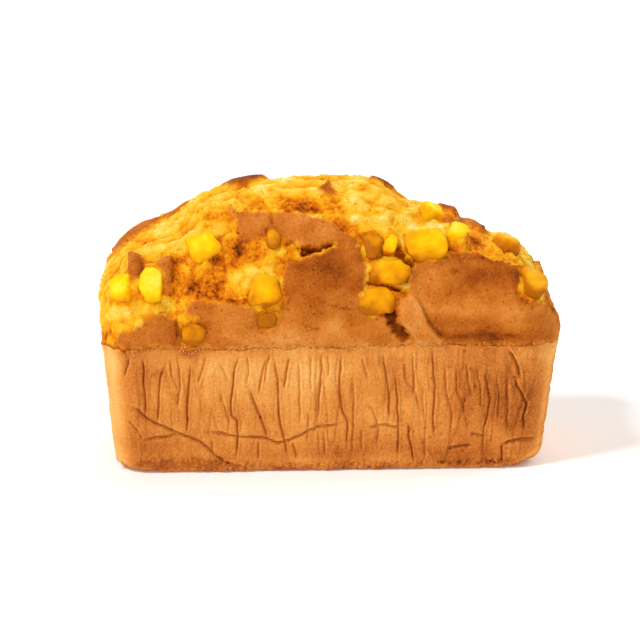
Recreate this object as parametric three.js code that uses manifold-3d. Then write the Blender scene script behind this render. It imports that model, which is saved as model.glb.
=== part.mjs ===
// A pound cake loaf, baked in a lined tin, with dice of yellow fruit in its burst top.
// Millimetres, +Z up. The origin is the middle of the base, X runs along the loaf, and -Y is the front.
import * as THREE from "three";
import { mergeVertices } from "three/addons/utils/BufferGeometryUtils.js";
import Module from "manifold-3d";

// Driving dimensions of the loaf
const BASE_LENGTH = 154.6;
const BASE_DEPTH = 67.0;
const RIM_LENGTH = 166.0;
const RIM_DEPTH = 79.6;
const RIM_HEIGHT = 48.0;
const DOME_HEIGHT = 54.5;
const BASE_CORNER = 11.0;
const RIM_CORNER = 13.0;
const FOOT_ROUNDING = 3.5;
const RIM_BULGE = 1.2; // how far the crust swells out over the wall, just above the rim
const BULGE_SHARE = 0.5; // the share of the dome's height that the bulge fades over

// The dome's outline is a superellipse, blunter over the ends than over the long sides.
const SIDE_BLUNTNESS = { reach: 2.2, rise: 2.0 };
const END_BLUNTNESS = { reach: 2.4, rise: 2.6 };
const END_SHARPNESS = 6;

// The ridge sinks towards both ends: where the slope starts, how long it is, and the share lost.
const RIDGE_FALLS = [
  { towards: 1, start: 12, length: 45, share: 0.22 },
  { towards: -1, start: 18, length: 50, share: 0.07 },
];

// Crust plates that the rising crumb has lifted, on the map of the top: along and across run
// from -1 to 1 over the dome, the front rim being across = -1. Reach is in the same shares.
const CRUST_PLATES = [
  { along: 0.0, across: -0.62, reach: [0.2, 0.24], lift: 1.6 },
  { along: 0.58, across: -0.74, reach: [0.3, 0.22], lift: 1.8 },
  { along: -0.42, across: -0.86, reach: [0.22, 0.14], lift: 1.4 },
  { along: -0.45, across: 0.3, reach: [0.2, 0.26], lift: 1.6 },
  { along: 0.2, across: 0.62, reach: [0.24, 0.26], lift: 1.6 },
  { along: 0.68, across: 0.34, reach: [0.18, 0.2], lift: 1.4 },
];
// The crumb's unevenness between them: a wave's height, and its radians per share of the map.
const SWELL = { height: 0.7, along: 7.3, across: 5.1 };

// Dice of fruit. Size is along the loaf, up the slope and into the cake; turn is in degrees
// about the surface's normal; proud is the share of the die that stands out of the cake.
const DICE = [
  { along: -0.385, across: -0.525, size: [11.5, 10.0, 9.0], turn: 15, proud: 0.36 },
  { along: -0.79, across: -0.77, size: [8.5, 11.0, 9.0], turn: -6, proud: 0.34 },
  { along: -0.615, across: -0.72, size: [8.5, 12.5, 9.0], turn: 8, proud: 0.36 },
  { along: -0.235, across: -0.745, size: [12.0, 12.0, 10.0], turn: -8, proud: 0.42 },
  { along: -0.25, across: -0.885, size: [8.0, 7.0, 8.0], turn: 4, proud: 0.12 },
  { along: -0.57, across: -0.935, size: [8.5, 10.0, 8.0], turn: 0, proud: 0.14 },
  { along: 0.125, across: -0.54, size: [7.0, 9.5, 9.0], turn: 4, proud: 0.12 },
  { along: 0.178, across: -0.53, size: [4.6, 8.0, 7.0], turn: -6, proud: 0.3 },
  { along: 0.28, across: -0.49, size: [15.5, 11.0, 10.0], turn: 8, proud: 0.42 },
  { along: 0.37, across: -0.38, size: [7.5, 9.5, 8.0], turn: -12, proud: 0.36 },
  { along: 0.27, across: -0.2, size: [9.5, 8.0, 8.0], turn: 20, proud: 0.4 },
  { along: 0.19, across: -0.67, size: [14.0, 8.5, 9.0], turn: -6, proud: 0.34 },
  { along: 0.165, across: -0.795, size: [12.5, 10.0, 9.0], turn: 6, proud: 0.3 },
  { along: 0.54, across: -0.2, size: [9.0, 9.5, 9.0], turn: 25, proud: 0.42 },
  { along: 0.74, across: -0.7, size: [9.5, 13.5, 9.0], turn: 4, proud: 0.38 },
  { along: -0.175, across: -0.505, size: [6.0, 7.0, 7.0], turn: -5, proud: 0.14 },
  { along: -0.52, across: 0.64, size: [11.0, 10.0, 9.0], turn: 12, proud: 0.36 },
  { along: -0.2, across: 0.62, size: [12.0, 9.5, 9.0], turn: -16, proud: 0.38 },
  { along: 0.08, across: 0.5, size: [10.0, 11.0, 9.0], turn: 22, proud: 0.32 },
  { along: 0.34, across: 0.74, size: [9.0, 12.0, 9.0], turn: -9, proud: 0.36 },
  { along: 0.56, across: 0.68, size: [10.0, 9.0, 9.0], turn: 18, proud: 0.36 },
  { along: -0.7, across: 0.84, size: [9.0, 10.0, 9.0], turn: 6, proud: 0.34 },
  { along: -0.02, across: 0.82, size: [11.0, 8.5, 8.0], turn: -4, proud: 0.37 },
  { along: 0.3, across: 0.54, size: [8.0, 7.5, 8.0], turn: 35, proud: 0.3 },
];
const DIE_SQUARENESS = 4.5; // exponent of a die's rounded-cube form
const POCKET_GAP = 0.35; // room between a die and the cake

// How finely the faces are divided
const LOAF_STEPS = { along: 30, across: 20, up: 6 };
const DIE_STEPS = 3;
const FOOT_CROWDING = 2; // power that draws the wall's rows down to the rounded foot
const MAP_STEP = 0.01; // step on the map for the slope under a die

const CRUST = new THREE.MeshStandardMaterial({ color: 0xd08a3e, roughness: 0.8, metalness: 0 });
const FRUIT = new THREE.MeshStandardMaterial({ color: 0xf7bd16, roughness: 0.35, metalness: 0 });

function smooth(t) {
  const s = THREE.MathUtils.clamp(t, 0, 1);
  return s * s * (3 - 2 * s);
}

// A point of the unit square's edge, carried onto a rectangle with round corners.
function onRoundedRectangle(p, q, halfLength, halfDepth, corner) {
  const x = Math.abs(p) * halfLength;
  const y = Math.abs(q) * halfDepth;
  const past = new THREE.Vector2(x - (halfLength - corner), y - (halfDepth - corner));
  const point = new THREE.Vector2(x, y);
  if (past.x > 0 && past.y > 0) {
    const reach = Math.max(past.x, past.y);
    point.set(halfLength - corner, halfDepth - corner).addScaledVector(past, reach / past.length());
  }
  return point.set(Math.sign(p) * point.x, Math.sign(q) * point.y);
}

function ridgeShare(x) {
  return RIDGE_FALLS.reduce(
    (share, fall) => share - fall.share * smooth((fall.towards * x - fall.start) / fall.length),
    1,
  );
}

// What the crust plates and the swollen crumb add to the dome's height.
function crustLift(along, across) {
  const swell =
    SWELL.height * Math.sin(SWELL.along * along + across) * Math.sin(SWELL.across * across - along);
  const plates = CRUST_PLATES.map((plate) => {
    const away = Math.hypot(
      (along - plate.along) / plate.reach[0],
      (across - plate.across) / plate.reach[1],
    );
    return plate.lift * smooth(2 - 2 * away);
  });
  return swell + Math.max(...plates);
}

// The top crust over the square map (along, across), from the rim up to the ridge.
function domePoint(along, across) {
  const ring = Math.max(Math.abs(along), Math.abs(across));
  const p = ring ? along / ring : 1;
  const q = ring ? across / ring : 0;
  const endShare = Math.abs(p) ** END_SHARPNESS;
  const reach = THREE.MathUtils.lerp(SIDE_BLUNTNESS.reach, END_BLUNTNESS.reach, endShare);
  const rise = THREE.MathUtils.lerp(SIDE_BLUNTNESS.rise, END_BLUNTNESS.rise, endShare);
  const angle = (ring * Math.PI) / 2;
  const spread = Math.sin(angle) ** (2 / reach);
  const height = Math.max(Math.cos(angle), 0) ** (2 / rise);
  const bulge = RIM_BULGE * Math.sin(Math.PI * Math.min(height / BULGE_SHARE, 1));
  const corner = spread * THREE.MathUtils.lerp(RIM_DEPTH / 2, RIM_CORNER, spread) + bulge;
  const plan = onRoundedRectangle(
    p,
    q,
    (RIM_LENGTH / 2) * spread + bulge,
    (RIM_DEPTH / 2) * spread + bulge,
    corner,
  );
  const lift = crustLift(along, across) * smooth(height / BULGE_SHARE);
  return new THREE.Vector3(plan.x, plan.y, RIM_HEIGHT + DOME_HEIGHT * ridgeShare(plan.x) * height + lift);
}

// The flaring wall, from the floor (share 0) to the rim (share 1), with its rounded foot.
function wallPoint(p, q, share) {
  const z = RIM_HEIGHT * share;
  const fromFoot = 1 - Math.min(z / FOOT_ROUNDING, 1);
  const foot = FOOT_ROUNDING * (1 - Math.sqrt(1 - fromFoot * fromFoot));
  const plan = onRoundedRectangle(
    p,
    q,
    THREE.MathUtils.lerp(BASE_LENGTH, RIM_LENGTH, share) / 2 - foot,
    THREE.MathUtils.lerp(BASE_DEPTH, RIM_DEPTH, share) / 2 - foot,
    THREE.MathUtils.lerp(BASE_CORNER, RIM_CORNER, share),
  );
  return new THREE.Vector3(plan.x, plan.y, z);
}

function basePoint(along, across) {
  const ring = Math.max(Math.abs(along), Math.abs(across));
  return ring ? wallPoint(along / ring, across / ring, 0).multiplyScalar(ring) : new THREE.Vector3();
}

// Moves every vertex of a geometry by a rule, and keeps only what a solid needs.
function reshape(geometry, rule) {
  const position = geometry.getAttribute("position");
  const vertex = new THREE.Vector3();
  for (let i = 0; i < position.count; i += 1) {
    const moved = rule(vertex.fromBufferAttribute(position, i));
    position.setXYZ(i, moved.x, moved.y, moved.z);
  }
  geometry.deleteAttribute("normal");
  geometry.deleteAttribute("uv");
  return mergeVertices(geometry);
}

function loafGeometry() {
  const { along, across, up } = LOAF_STEPS;
  return reshape(new THREE.BoxGeometry(2, 2, 2, along, across, up), (v) => {
    if (v.z === 1) return domePoint(v.x, v.y);
    if (v.z === -1) return basePoint(v.x, v.y);
    return wallPoint(v.x, v.y, ((v.z + 1) / 2) ** FOOT_CROWDING);
  });
}

// A die of fruit: a cube with softened edges, grown on every side by extra.
function dieGeometry(size, extra) {
  const half = new THREE.Vector3(...size).multiplyScalar(0.5).addScalar(extra);
  return reshape(new THREE.BoxGeometry(2, 2, 2, DIE_STEPS, DIE_STEPS, DIE_STEPS), (v) => {
    const sum = [v.x, v.y, v.z].reduce((total, c) => total + Math.abs(c) ** DIE_SQUARENESS, 0);
    return v.clone().divideScalar(sum ** (1 / DIE_SQUARENESS)).multiply(half);
  });
}

// The frame of a die: its local Z points out of the cake, and its local X runs along the loaf, turned.
function dieMatrix({ along, across, size, turn, proud }) {
  const point = domePoint(along, across);
  const alongLoaf = domePoint(along + MAP_STEP, across).sub(domePoint(along - MAP_STEP, across));
  const upSlope = domePoint(along, across + MAP_STEP).sub(domePoint(along, across - MAP_STEP));
  const out = alongLoaf.cross(upSlope).normalize();
  const right = new THREE.Vector3(1, 0, 0).projectOnPlane(out).normalize();
  right.applyAxisAngle(out, THREE.MathUtils.degToRad(turn));
  const up = new THREE.Vector3().crossVectors(out, right);
  point.addScaledVector(out, (proud - 0.5) * size[2]);
  return new THREE.Matrix4().makeBasis(right, up, out).setPosition(point);
}

const wasm = await Module();
wasm.setup();

function toSolid(geometry) {
  return new wasm.Manifold(
    new wasm.Mesh({
      numProp: 3,
      vertProperties: geometry.getAttribute("position").array,
      triVerts: new Uint32Array(geometry.index.array),
    }),
  );
}

function toGeometry(solid) {
  const mesh = solid.getMesh();
  return new THREE.BufferGeometry()
    .setAttribute("position", new THREE.BufferAttribute(mesh.vertProperties, 3))
    .setIndex(new THREE.BufferAttribute(mesh.triVerts, 1));
}

// The loaf, with a pocket round every die.
function loafMesh() {
  const pockets = DICE.map((die) =>
    toSolid(dieGeometry(die.size, POCKET_GAP).applyMatrix4(dieMatrix(die))),
  );
  const solid = pockets.reduce((cake, pocket) => cake.subtract(pocket), toSolid(loafGeometry()));
  const mesh = new THREE.Mesh(toGeometry(solid), CRUST);
  mesh.name = "loaf";
  return mesh;
}

function dieMesh(die, index) {
  const mesh = new THREE.Mesh(dieGeometry(die.size, 0), FRUIT.clone());
  mesh.name = `fruit_die_${String(index + 1).padStart(2, "0")}`;
  dieMatrix(die).decompose(mesh.position, mesh.quaternion, mesh.scale);
  return mesh;
}

const cake = new THREE.Group();
cake.add(loafMesh(), ...DICE.map(dieMesh));

export default cake;
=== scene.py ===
"""A pound cake loaf with fruit: a burst crown, paper-creased sides, dice of fruit and loose crumbs."""

import math
from collections import namedtuple
from itertools import product

import bpy
import numpy as np
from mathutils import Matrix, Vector
from mathutils.bvhtree import BVHTree


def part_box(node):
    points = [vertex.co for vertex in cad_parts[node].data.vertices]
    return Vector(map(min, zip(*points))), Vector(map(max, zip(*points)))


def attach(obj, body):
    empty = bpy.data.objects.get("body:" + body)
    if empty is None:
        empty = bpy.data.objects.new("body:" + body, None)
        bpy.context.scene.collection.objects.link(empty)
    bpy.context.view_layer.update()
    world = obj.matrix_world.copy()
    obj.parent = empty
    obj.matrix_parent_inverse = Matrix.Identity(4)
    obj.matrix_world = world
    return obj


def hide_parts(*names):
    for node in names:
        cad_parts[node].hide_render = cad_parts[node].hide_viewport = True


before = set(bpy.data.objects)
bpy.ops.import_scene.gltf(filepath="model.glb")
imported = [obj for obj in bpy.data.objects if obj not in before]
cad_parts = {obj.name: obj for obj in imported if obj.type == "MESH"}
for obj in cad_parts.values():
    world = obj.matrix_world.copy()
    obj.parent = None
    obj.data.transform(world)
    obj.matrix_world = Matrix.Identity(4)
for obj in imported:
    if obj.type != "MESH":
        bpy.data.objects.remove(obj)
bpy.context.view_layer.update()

# Sizes of the loaf, in millimetres
MM = 0.001
LOAF_LOW, LOAF_HIGH = (np.array(corner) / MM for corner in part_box("loaf"))
OVERHANG = 0.7  # how far the crown swells past the rim
RIM_LENGTH, RIM_DEPTH = (LOAF_HIGH - LOAF_LOW)[:2] - 2 * OVERHANG
RIM_HEIGHT = 48.0
DOME_HEIGHT = LOAF_HIGH[2] - RIM_HEIGHT
LENGTH_FLARE, DEPTH_FLARE = 10.2, 12.6
BASE_LENGTH, BASE_DEPTH = RIM_LENGTH - LENGTH_FLARE, RIM_DEPTH - DEPTH_FLARE
BASE_SHIFT = -0.6
RIM_CORNER, BASE_CORNER = 13.0, 11.0
FOOT_ROUNDING = 3.5
END_FOOT_ROUNDINGS = ((1, 7.5), (-1, 6.0))  # right and left
FOOT_ENDS_FROM = 0.75  # share of the half length where the foot of the ends begins
RIM_BULGE = 1.2
BULGE_SHARE = 0.5  # share of the dome's height that bulges
RIDGE_FALLS = ((1, 12, 45, 0.22), (-1, 18, 50, 0.07))  # towards, start, length, share lost
SPREAD_POWERS = (2.2, 2.4)  # how full the dome's outline is, over the long sides and over the ends
HEIGHT_POWERS = (2.0, 2.6)
DOME_ENDS_FROM = 0.7
DICE = sorted(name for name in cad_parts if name.startswith("fruit_die"))

# How finely the crown and the sides are divided; rows up the sides are given as from, to, and how many
CROWN_STEPS = (380, 248)
SIDE_STEPS = (500, 160)
SIDE_ROWS = ((0.0, 6.0, 14), (6.0, 25.0, 27), (25.0, 44.0, 22), (44.0, RIM_HEIGHT, 8))
BASE_RINGS = 2
TINY = 1e-9

# The camera that took the photograph: angles in degrees, distances in millimetres, places in pixels
CAMERA_TURN, CAMERA_RISE = -3.0, 14.0
CAMERA_DISTANCE = 1500.0
MM_PER_PIXEL = 0.37
PICTURE_SIDE = 640
AIM = np.array([0.0, 0.0, 48.0])
AIM_PIXEL = (326.5, 321.5)

TURN, RISE = math.radians(CAMERA_TURN), math.radians(CAMERA_RISE)
BACK = np.array([math.sin(TURN) * math.cos(RISE), -math.cos(TURN) * math.cos(RISE), math.sin(RISE)])
RIGHT = np.array([math.cos(TURN), math.sin(TURN), 0.0])
UP = np.cross(BACK, RIGHT)

# Charts: the photograph, with the loaf turned by quarters until a side faces the camera,
# and the ridge seen from above
SIDES = ("front", "right", "back", "left")
CHART_FADE = 0.2
FRONT_FACING, OTHER_FACING, RIDGE_FACING = -0.08, 0.1, 0.2  # how squarely a place has to face its chart
RIDGE_STRAY, SIDE_STRAY = 1.3, 3.4  # how far ragged outlines stray, in millimetres and in pixels
PATCH_FALL = 1.4  # how steeply a soft patch fades over its reach
Chart = namedtuple("Chart", "places stray unit holds")

# Crust plates: the chart they are drawn on, how far they stand up, how dark they are, and their outline.
# Outlines on the sides are in pixels, and those on the ridge in millimetres.
PLATES = (
    ("front", 0.5, 0.34, ((229, 209), (243, 212), (262, 212), (270, 216), (280, 213), (300, 213), (313, 218),
                          (333, 220), (340, 229), (352, 235), (359, 243), (352, 246), (335, 243), (322, 247),
                          (300, 246), (288, 242), (281, 240), (279, 231), (264, 229), (262, 238), (246, 240),
                          (239, 240), (236, 222))),
    ("front", 0.4, 0.38, ((184, 306), (198, 300), (215, 302), (248, 305), (256, 310), (258, 320), (264, 330),
                          (272, 328), (280, 312), (285, 300), (282, 288), (284, 272), (286, 261), (300, 261),
                          (311, 255), (322, 251), (334, 246), (352, 245), (360, 246), (366, 268), (365, 283),
                          (360, 294), (361, 309), (372, 316), (386, 316), (404, 310), (412, 330), (432, 348),
                          (196, 348), (198, 332), (197, 319), (188, 317))),
    ("front", 0.4, 0.46, ((116, 338), (122, 331), (131, 331), (140, 325), (150, 318), (165, 313), (174, 317),
                          (180, 326), (182, 348), (114, 348))),
    ("front", 1.2, 0.36, ((156, 257), (163, 252), (171, 251), (173, 262), (174, 270), (170, 280), (168, 292),
                          (164, 285), (164, 273), (157, 265))),
    ("front", 1.1, 0.46, ((128, 252), (138, 252), (143, 257), (144, 265), (146, 273), (138, 279), (132, 279),
                          (128, 268))),
    ("front", 0.7, 0.42, ((411, 272), (416, 265), (426, 261), (440, 260), (452, 255), (468, 250), (474, 249),
                          (484, 254), (499, 257), (511, 260), (518, 266), (520, 281), (518, 289), (519, 298),
                          (526, 304), (536, 303), (550, 304), (562, 318), (564, 348), (424, 348), (428, 338),
                          (422, 328), (416, 316), (412, 303), (410, 296), (409, 284))),
    ("front", 2.3, 0.16, ((400, 298), (411, 297), (418, 302), (423, 312), (428, 323), (435, 332), (443, 339),
                          (440, 348), (419, 348), (410, 332), (403, 324), (399, 312), (398, 304))),
    ("front", 0.3, 0.62, ((319, 188), (323, 184), (328, 181), (332, 184), (334, 190), (329, 193),
                          (322, 193))),
    ("ridge", 0.15, 0.74, ((-36, 5), (-30, 2), (-25, 4), (-22, 10), (-26, 14), (-33, 15), (-38, 10))),
    ("ridge", 0.2, 0.76, ((17, 7), (21, 4), (25, 7), (27, 12), (23, 16), (17, 13))),
    ("ridge", 0.5, 0.74, ((43, 9), (46, 6), (49, 9), (49, 15), (45, 18), (42, 13))),
    ("ridge", 0.5, 0.76, ((54, 5), (57, 2), (60, 6), (60, 13), (56, 15), (53, 10))),
    ("ridge", 0.4, 0.46, ((-78, 11), (-71, 7), (-65, 10), (-62, 18), (-70, 22), (-78, 18))),
    ("ridge", 0.3, 0.46, ((-62, 14), (-56, 11), (-50, 15), (-53, 22), (-61, 21))),
    ("back", 0.6, 0.42, ((250, 348), (246, 330), (232, 322), (236, 306), (258, 298), (262, 282), (282, 270),
                         (306, 268), (318, 252), (346, 246), (362, 252), (372, 268), (366, 284), (378, 296),
                         (400, 300), (404, 316), (396, 330), (402, 348))),
    ("back", 0.6, 0.38, ((424, 348), (418, 332), (426, 316), (448, 308), (462, 296), (470, 284), (500, 290),
                         (516, 300), (534, 302), (548, 318), (552, 348))),
    ("back", 0.5, 0.42, ((102, 348), (104, 330), (122, 316), (146, 312), (158, 300), (180, 296), (196, 306),
                         (204, 322), (200, 336), (206, 348))),
    ("back", 0.6, 0.48, ((404, 232), (430, 226), (452, 236), (474, 252), (480, 268), (456, 276), (432, 268),
                         (414, 258), (398, 250))),
    ("back", 0.6, 0.38, ((170, 236), (192, 226), (212, 232), (232, 226), (246, 236), (240, 252), (222, 258),
                         (206, 268), (184, 262), (172, 252))),
    ("right", 0.5, 0.42, ((232, 382), (228, 360), (240, 344), (262, 336), (276, 322), (300, 318), (318, 326),
                          (330, 342), (326, 360), (334, 382))),
    ("right", 0.5, 0.46, ((352, 382), (348, 362), (360, 350), (384, 344), (400, 330), (420, 334), (430, 352),
                          (428, 382))),
    ("left", 0.5, 0.44, ((206, 382), (208, 352), (224, 342), (240, 350), (246, 366), (242, 382))),
)

# Darker and lighter places of the crust on the front: pixel, reach in pixels, and amount.
# The lighter band at (480, 311) and the spot at (528, 309) are a painted highlight on the right plate's
# swell, and the dark band at (496, 338) is painted shade under it.
CRUST_ZONES = (
    ((326, 278), (42, 32), 0.28),
    ((480, 311), (54, 8), -0.18),
    ((486, 272), (36, 16), 0.2),
    ((508, 272), (12, 16), 0.1),
    ((496, 338), (80, 8), 0.3),
    ((424, 282), (14, 20), -0.06),
    ((528, 309), (18, 7), -0.12),
    ((160, 255), (7, 6), -0.08),
    ((133, 265), (4, 12), -0.2),
    ((143, 266), (3, 12), 0.14),
    ((173, 274), (4, 18), 0.2),
    ((352, 240), (10, 8), 0.12),
    ((112, 338), (10, 8), 0.16),
    ((235, 343), (60, 5), 0.08),
    ((345, 330), (50, 12), -0.13),
    ((265, 338), (60, 9), -0.17),
    ((150, 338), (30, 8), -0.06),
    ((490, 257), (34, 3), 0.26),
    ((518, 274), (5, 16), 0.2),
    ((430, 268), (18, 7), -0.1),
    ((452, 273), (6, 3), 0.25),
)

# Zones of the torn crumb on the front: pixel, reach in pixels, and how much they are browned or paled
CRUMB_ZONES = (
    ((292, 203), (58, 12), 0.26),
    ((514, 292), (7, 9), 0.35),
    ((218, 215), (20, 8), 0.24),
    ((202, 284), (30, 20), 0.46),
    ((238, 252), (12, 18), 0.34),
    ((262, 250), (26, 12), 0.22),
    ((176, 277), (8, 22), 0.32),
    ((217, 240), (5, 5), 0.34),
    ((226, 266), (14, 7), 0.3),
    ((334, 206), (10, 14), 0.26),
    ((346, 224), (14, 6), 0.42),
    ((330, 198), (8, 13), 0.2),
    ((395, 325), (8, 14), 0.4),
    ((392, 222), (22, 8), 0.12),
    ((478, 236), (14, 14), 0.5),
    ((452, 213), (11, 8), 0.5),
    ((502, 252), (18, 8), 0.26),
    ((134, 236), (14, 6), 0.2),
    ((190, 206), (10, 6), 0.2),
    ((268, 320), (12, 12), 0.5),
    ((285, 303), (5, 10), 0.3),
    ((189, 334), (12, 12), 0.3),
    ((276, 184), (52, 8), -0.14),
    ((172, 232), (46, 14), -0.02),
    ((123, 264), (5, 14), -0.14),
    ((195, 228), (6, 8), -0.2),
    ((160, 226), (20, 5), -0.1),
    ((120, 312), (22, 12), -0.4),
    ((150, 308), (10, 9), -0.14),
    ((265, 271), (13, 9), -0.2),
    ((374, 199), (34, 12), -0.1),
    ((428, 226), (20, 7), -0.16),
    ((352, 214), (8, 5), -0.16),
    ((541, 286), (4, 14), -0.1),
)

# Swellings and dips: the chart, the place on it, the reach in its units, and the height in millimetres
SWELLS = (
    ("front", (500, 307), (60, 14), 2.4),
    ("front", (490, 338), (70, 7), -1.6),
    ("front", (556, 306), (14, 34), -3.4),
    ("front", (325, 282), (40, 24), 0.8),
    ("front", (330, 328), (60, 10), 0.5),
    ("front", (230, 318), (30, 12), 0.5),
    ("front", (145, 330), (30, 12), 0.6),
    ("front", (400, 246), (10, 14), -0.6),
    ("front", (205, 288), (26, 12), -1.2),
    ("front", (260, 254), (24, 10), -1.0),
    ("front", (346, 224), (14, 6), -0.6),
    ("front", (448, 262), (36, 6), -0.4),
    ("front", (452, 212), (9, 7), 1.0),
    ("front", (478, 231), (10, 9), 1.2),
    ("front", (465, 221), (4, 9), -1.2),
    ("ridge", (-30, 9), (10, 9), 1.2),
    ("ridge", (21, 12), (8, 9), 0.4),
    ("right", (300, 325), (50, 28), -2.0),
    ("right", (330, 335), (90, 34), -1.2),
    ("left", (330, 330), (90, 34), 1.4),
)

# Dips across the ridge: place along the loaf, half width and depth in millimetres
VALLEYS = ((31.5, 9.0, 2.9), (51.5, 2.4, 1.6), (61.0, 8.0, 2.4), (-59.0, 10.0, 3.2))
VALLEY_FOOT, VALLEY_RISE = 8.0, 30.0  # how high over the rim they begin, and how soon they are at full depth

# Gaps torn between the plates: the side, half width in pixels, depth in millimetres, and the line they follow
GAPS = (
    ("front", 3.4, 2.2, ((304, 252), (309, 250))),
    ("front", 2.2, 2.4, ((303, 248), (313, 248), (319, 249))),
    ("front", 1.5, 2.0, ((318, 249), (323, 245), (326, 246), (331, 244))),
    ("front", 1.4, 1.2, ((288, 243), (292, 242), (296, 246), (300, 249))),
    ("front", 3.4, 3.2, ((398, 248), (404, 256), (411, 266))),
    ("front", 2.0, 1.8, ((369, 283), (384, 285), (400, 289))),
    ("front", 1.4, 1.0, ((271, 212), (272, 224))),
    ("front", 1.2, 0.5, ((418, 301), (425, 313), (432, 326), (443, 338))),
    ("front", 4.6, 2.2, ((391, 316), (395, 326), (404, 337))),
    ("front", 1.3, 0.7, ((306, 326), (318, 329))),
    ("front", 1.2, 0.5, ((329, 306), (345, 309), (360, 309))),
    ("front", 2.4, 1.0, ((198, 296), (214, 298), (236, 302), (250, 302))),
    ("front", 1.8, 0.6, ((176, 320), (177, 332), (174, 346))),
    ("front", 2.4, 0.4, ((238, 242), (240, 252), (234, 260))),
    ("back", 1.6, 1.2, ((290, 300), (306, 306), (318, 302), (336, 310))),
    ("back", 2.4, 1.6, ((404, 300), (412, 316), (410, 340))),
    ("back", 1.4, 0.8, ((150, 322), (168, 330), (190, 328))),
    ("back", 1.5, 1.0, ((462, 312), (480, 318), (498, 314))),
    ("right", 1.4, 1.2, ((258, 352), (270, 347), (281, 350), (289, 344), (300, 346))),
)
GAP_STRAY = 0.4
# The darkness of a gap is painted shade.
FULL_GAP_DEPTH = 2.3  # a gap as deep as this is quite dark

# Soft uneven fields: strength, size of the features in millimetres, seed, and octaves
FIELDS = {
    "stray_x": (1.0, 4.5, 11, 3),
    "stray_y": (1.0, 4.5, 23, 3),
    "fine_stray_x": (0.35, 1.4, 16, 2),
    "fine_stray_y": (0.35, 1.4, 28, 2),
    "rim_out": (0.9, 3.5, 81, 3),
    "rim_up": (0.8, 11.0, 83, 2),
    "fine_rim_up": (0.9, 3.0, 85, 2),
    "pull_x": (1.8, 6.0, 91, 2),
    "pull_y": (1.8, 6.0, 93, 2),
    "pull_z": (1.8, 6.0, 95, 2),
    "grainy": (0.6, 13.0, 8, 2),
    "crumb_swell": (0.8, 14.0, 9, 2),
    "crust_swell": (0.4, 12.0, 31, 2),
    "crust_grain": (0.16, 1.5, 37, 2),
    "crust_tone": (1.0, 9.0, 47, 3),
    "crust_edge": (0.35, 3.2, 36, 2),
    "fine_crust_edge": (0.55, 1.3, 35, 2),
    "belt_top": (5.0, 18.0, 33, 2),
    "crumb_brown": (0.3, 16.0, 41, 2),
    "fine_crumb_brown": (0.1, 5.0, 43, 2),
    "toasted_edge": (1.0, 8.0, 45, 2),
    "broken_edge": (1.0, 7.0, 46, 2),
    "gap_edge": (0.8, 1.5, 49, 2),
    "clinging": (1.2, 4.5, 57, 2),
    "collar": (1.0, 3.2, 58, 2),
    "crown_crumbs": (2.0, 6.0, 59, 2),
    "seam_split": (2.5, 5.0, 87, 3),
    "seam_crumbs": (2.0, 5.0, 89, 2),
    "side_stray_x": (1.0, 4.0, 51, 3),
    "side_stray_y": (1.0, 4.0, 53, 3),
    "pleats": (0.35, 8.0, 61, 2),
    "fine_pleats": (0.22, 2.2, 63, 2),
    "wrinkles": (1.0, 3.6, 64, 2),
    "wrinkled": (1.5, 20.0, 65, 2),
    "foot_rough": (1.2, 2.2, 67, 3),
    "foot_patches": (1.5, 12.0, 69, 2),
    "foot_brown": (0.8, 9.0, 77, 2),
    "seam_flakes": (0.9, 2.4, 71, 3),
    "side_brown": (0.22, 30.0, 73, 2),
    "side_crumbs": (2.0, 7.0, 79, 2),
}
# Fields of rounded lumps: size in millimetres, and seed
LUMPS = {
    "big": (9.0, 3),
    "medium": (4.6, 4),
    "grain": (2.6, 5),
    "fine_grain": (1.5, 6),
    "gap_crumb": (1.6, 55),
    "foot_clots": (1.5, 68),
}
LUMP_MEAN = 0.66
FLAT = np.array([1.0, 1.0, 0.0])
DRAWN_UP = np.array([1.0, 1.0, 0.2])
WRINKLES_UP = np.array([1.0, 1.0, 0.15])
DRAWN_ALONG = np.array([0.65, 1.0, 1.0])


def smooth(share):
    share = np.clip(share, 0.0, 1.0)
    return share * share * (3.0 - 2.0 * share)


def between(pair, share):
    return pair[0] + (pair[1] - pair[0]) * share


# Noise over space

def scatter(cells, seed):
    """A number from 0 to 1 for each whole-numbered cell."""
    cells = cells.astype(np.uint32)
    mixed = cells[..., 0] * np.uint32(374761393) + cells[..., 1] * np.uint32(668265263)
    mixed = mixed + cells[..., 2] * np.uint32(2246822519) + np.uint32(seed * 3266489917 % 2**32)
    mixed = (mixed ^ (mixed >> np.uint32(13))) * np.uint32(1274126177)
    mixed = (mixed ^ (mixed >> np.uint32(16))) * np.uint32(2654435761)
    return ((mixed ^ (mixed >> np.uint32(15))) & np.uint32(0xFFFFFF)) / float(0xFFFFFF)


def waves(points, size, seed, octaves):
    """Soft noise from -1 to 1, with features of that size."""
    total, height, reach = 0.0, 1.0, 0.0
    for octave in range(octaves):
        place = points / size * 2.0**octave
        cell = np.floor(place)
        share = smooth(place - cell)
        level = 0.0
        for corner in product((0, 1), repeat=3):
            weight = np.prod(np.where(corner, share, 1.0 - share), axis=-1)
            level = level + weight * scatter((cell + corner).astype(np.int64), seed + octave)
        total = total + height * (2.0 * level - 1.0)
        reach += height
        height *= 0.5
    return total / reach


def uneven(name, points):
    strength, size, seed, octaves = FIELDS[name]
    return strength * waves(points, size, seed, octaves)


def lumps(name, points):
    """Rounded lumps, from 0 in the creases between them to 1 on top."""
    size, seed = LUMPS[name]
    place = points / size
    cell = np.floor(place)
    nearest = np.full(len(points), np.inf)
    for corner in product((-1, 0, 1), repeat=3):
        other = (cell + corner).astype(np.int64)
        seat = other + np.stack([scatter(other, seed + k) for k in range(3)], -1)
        nearest = np.minimum(nearest, ((place - seat) ** 2).sum(-1))
    return np.clip(1.0 - nearest, 0.0, 1.0)


# The smooth form of the loaf

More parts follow.
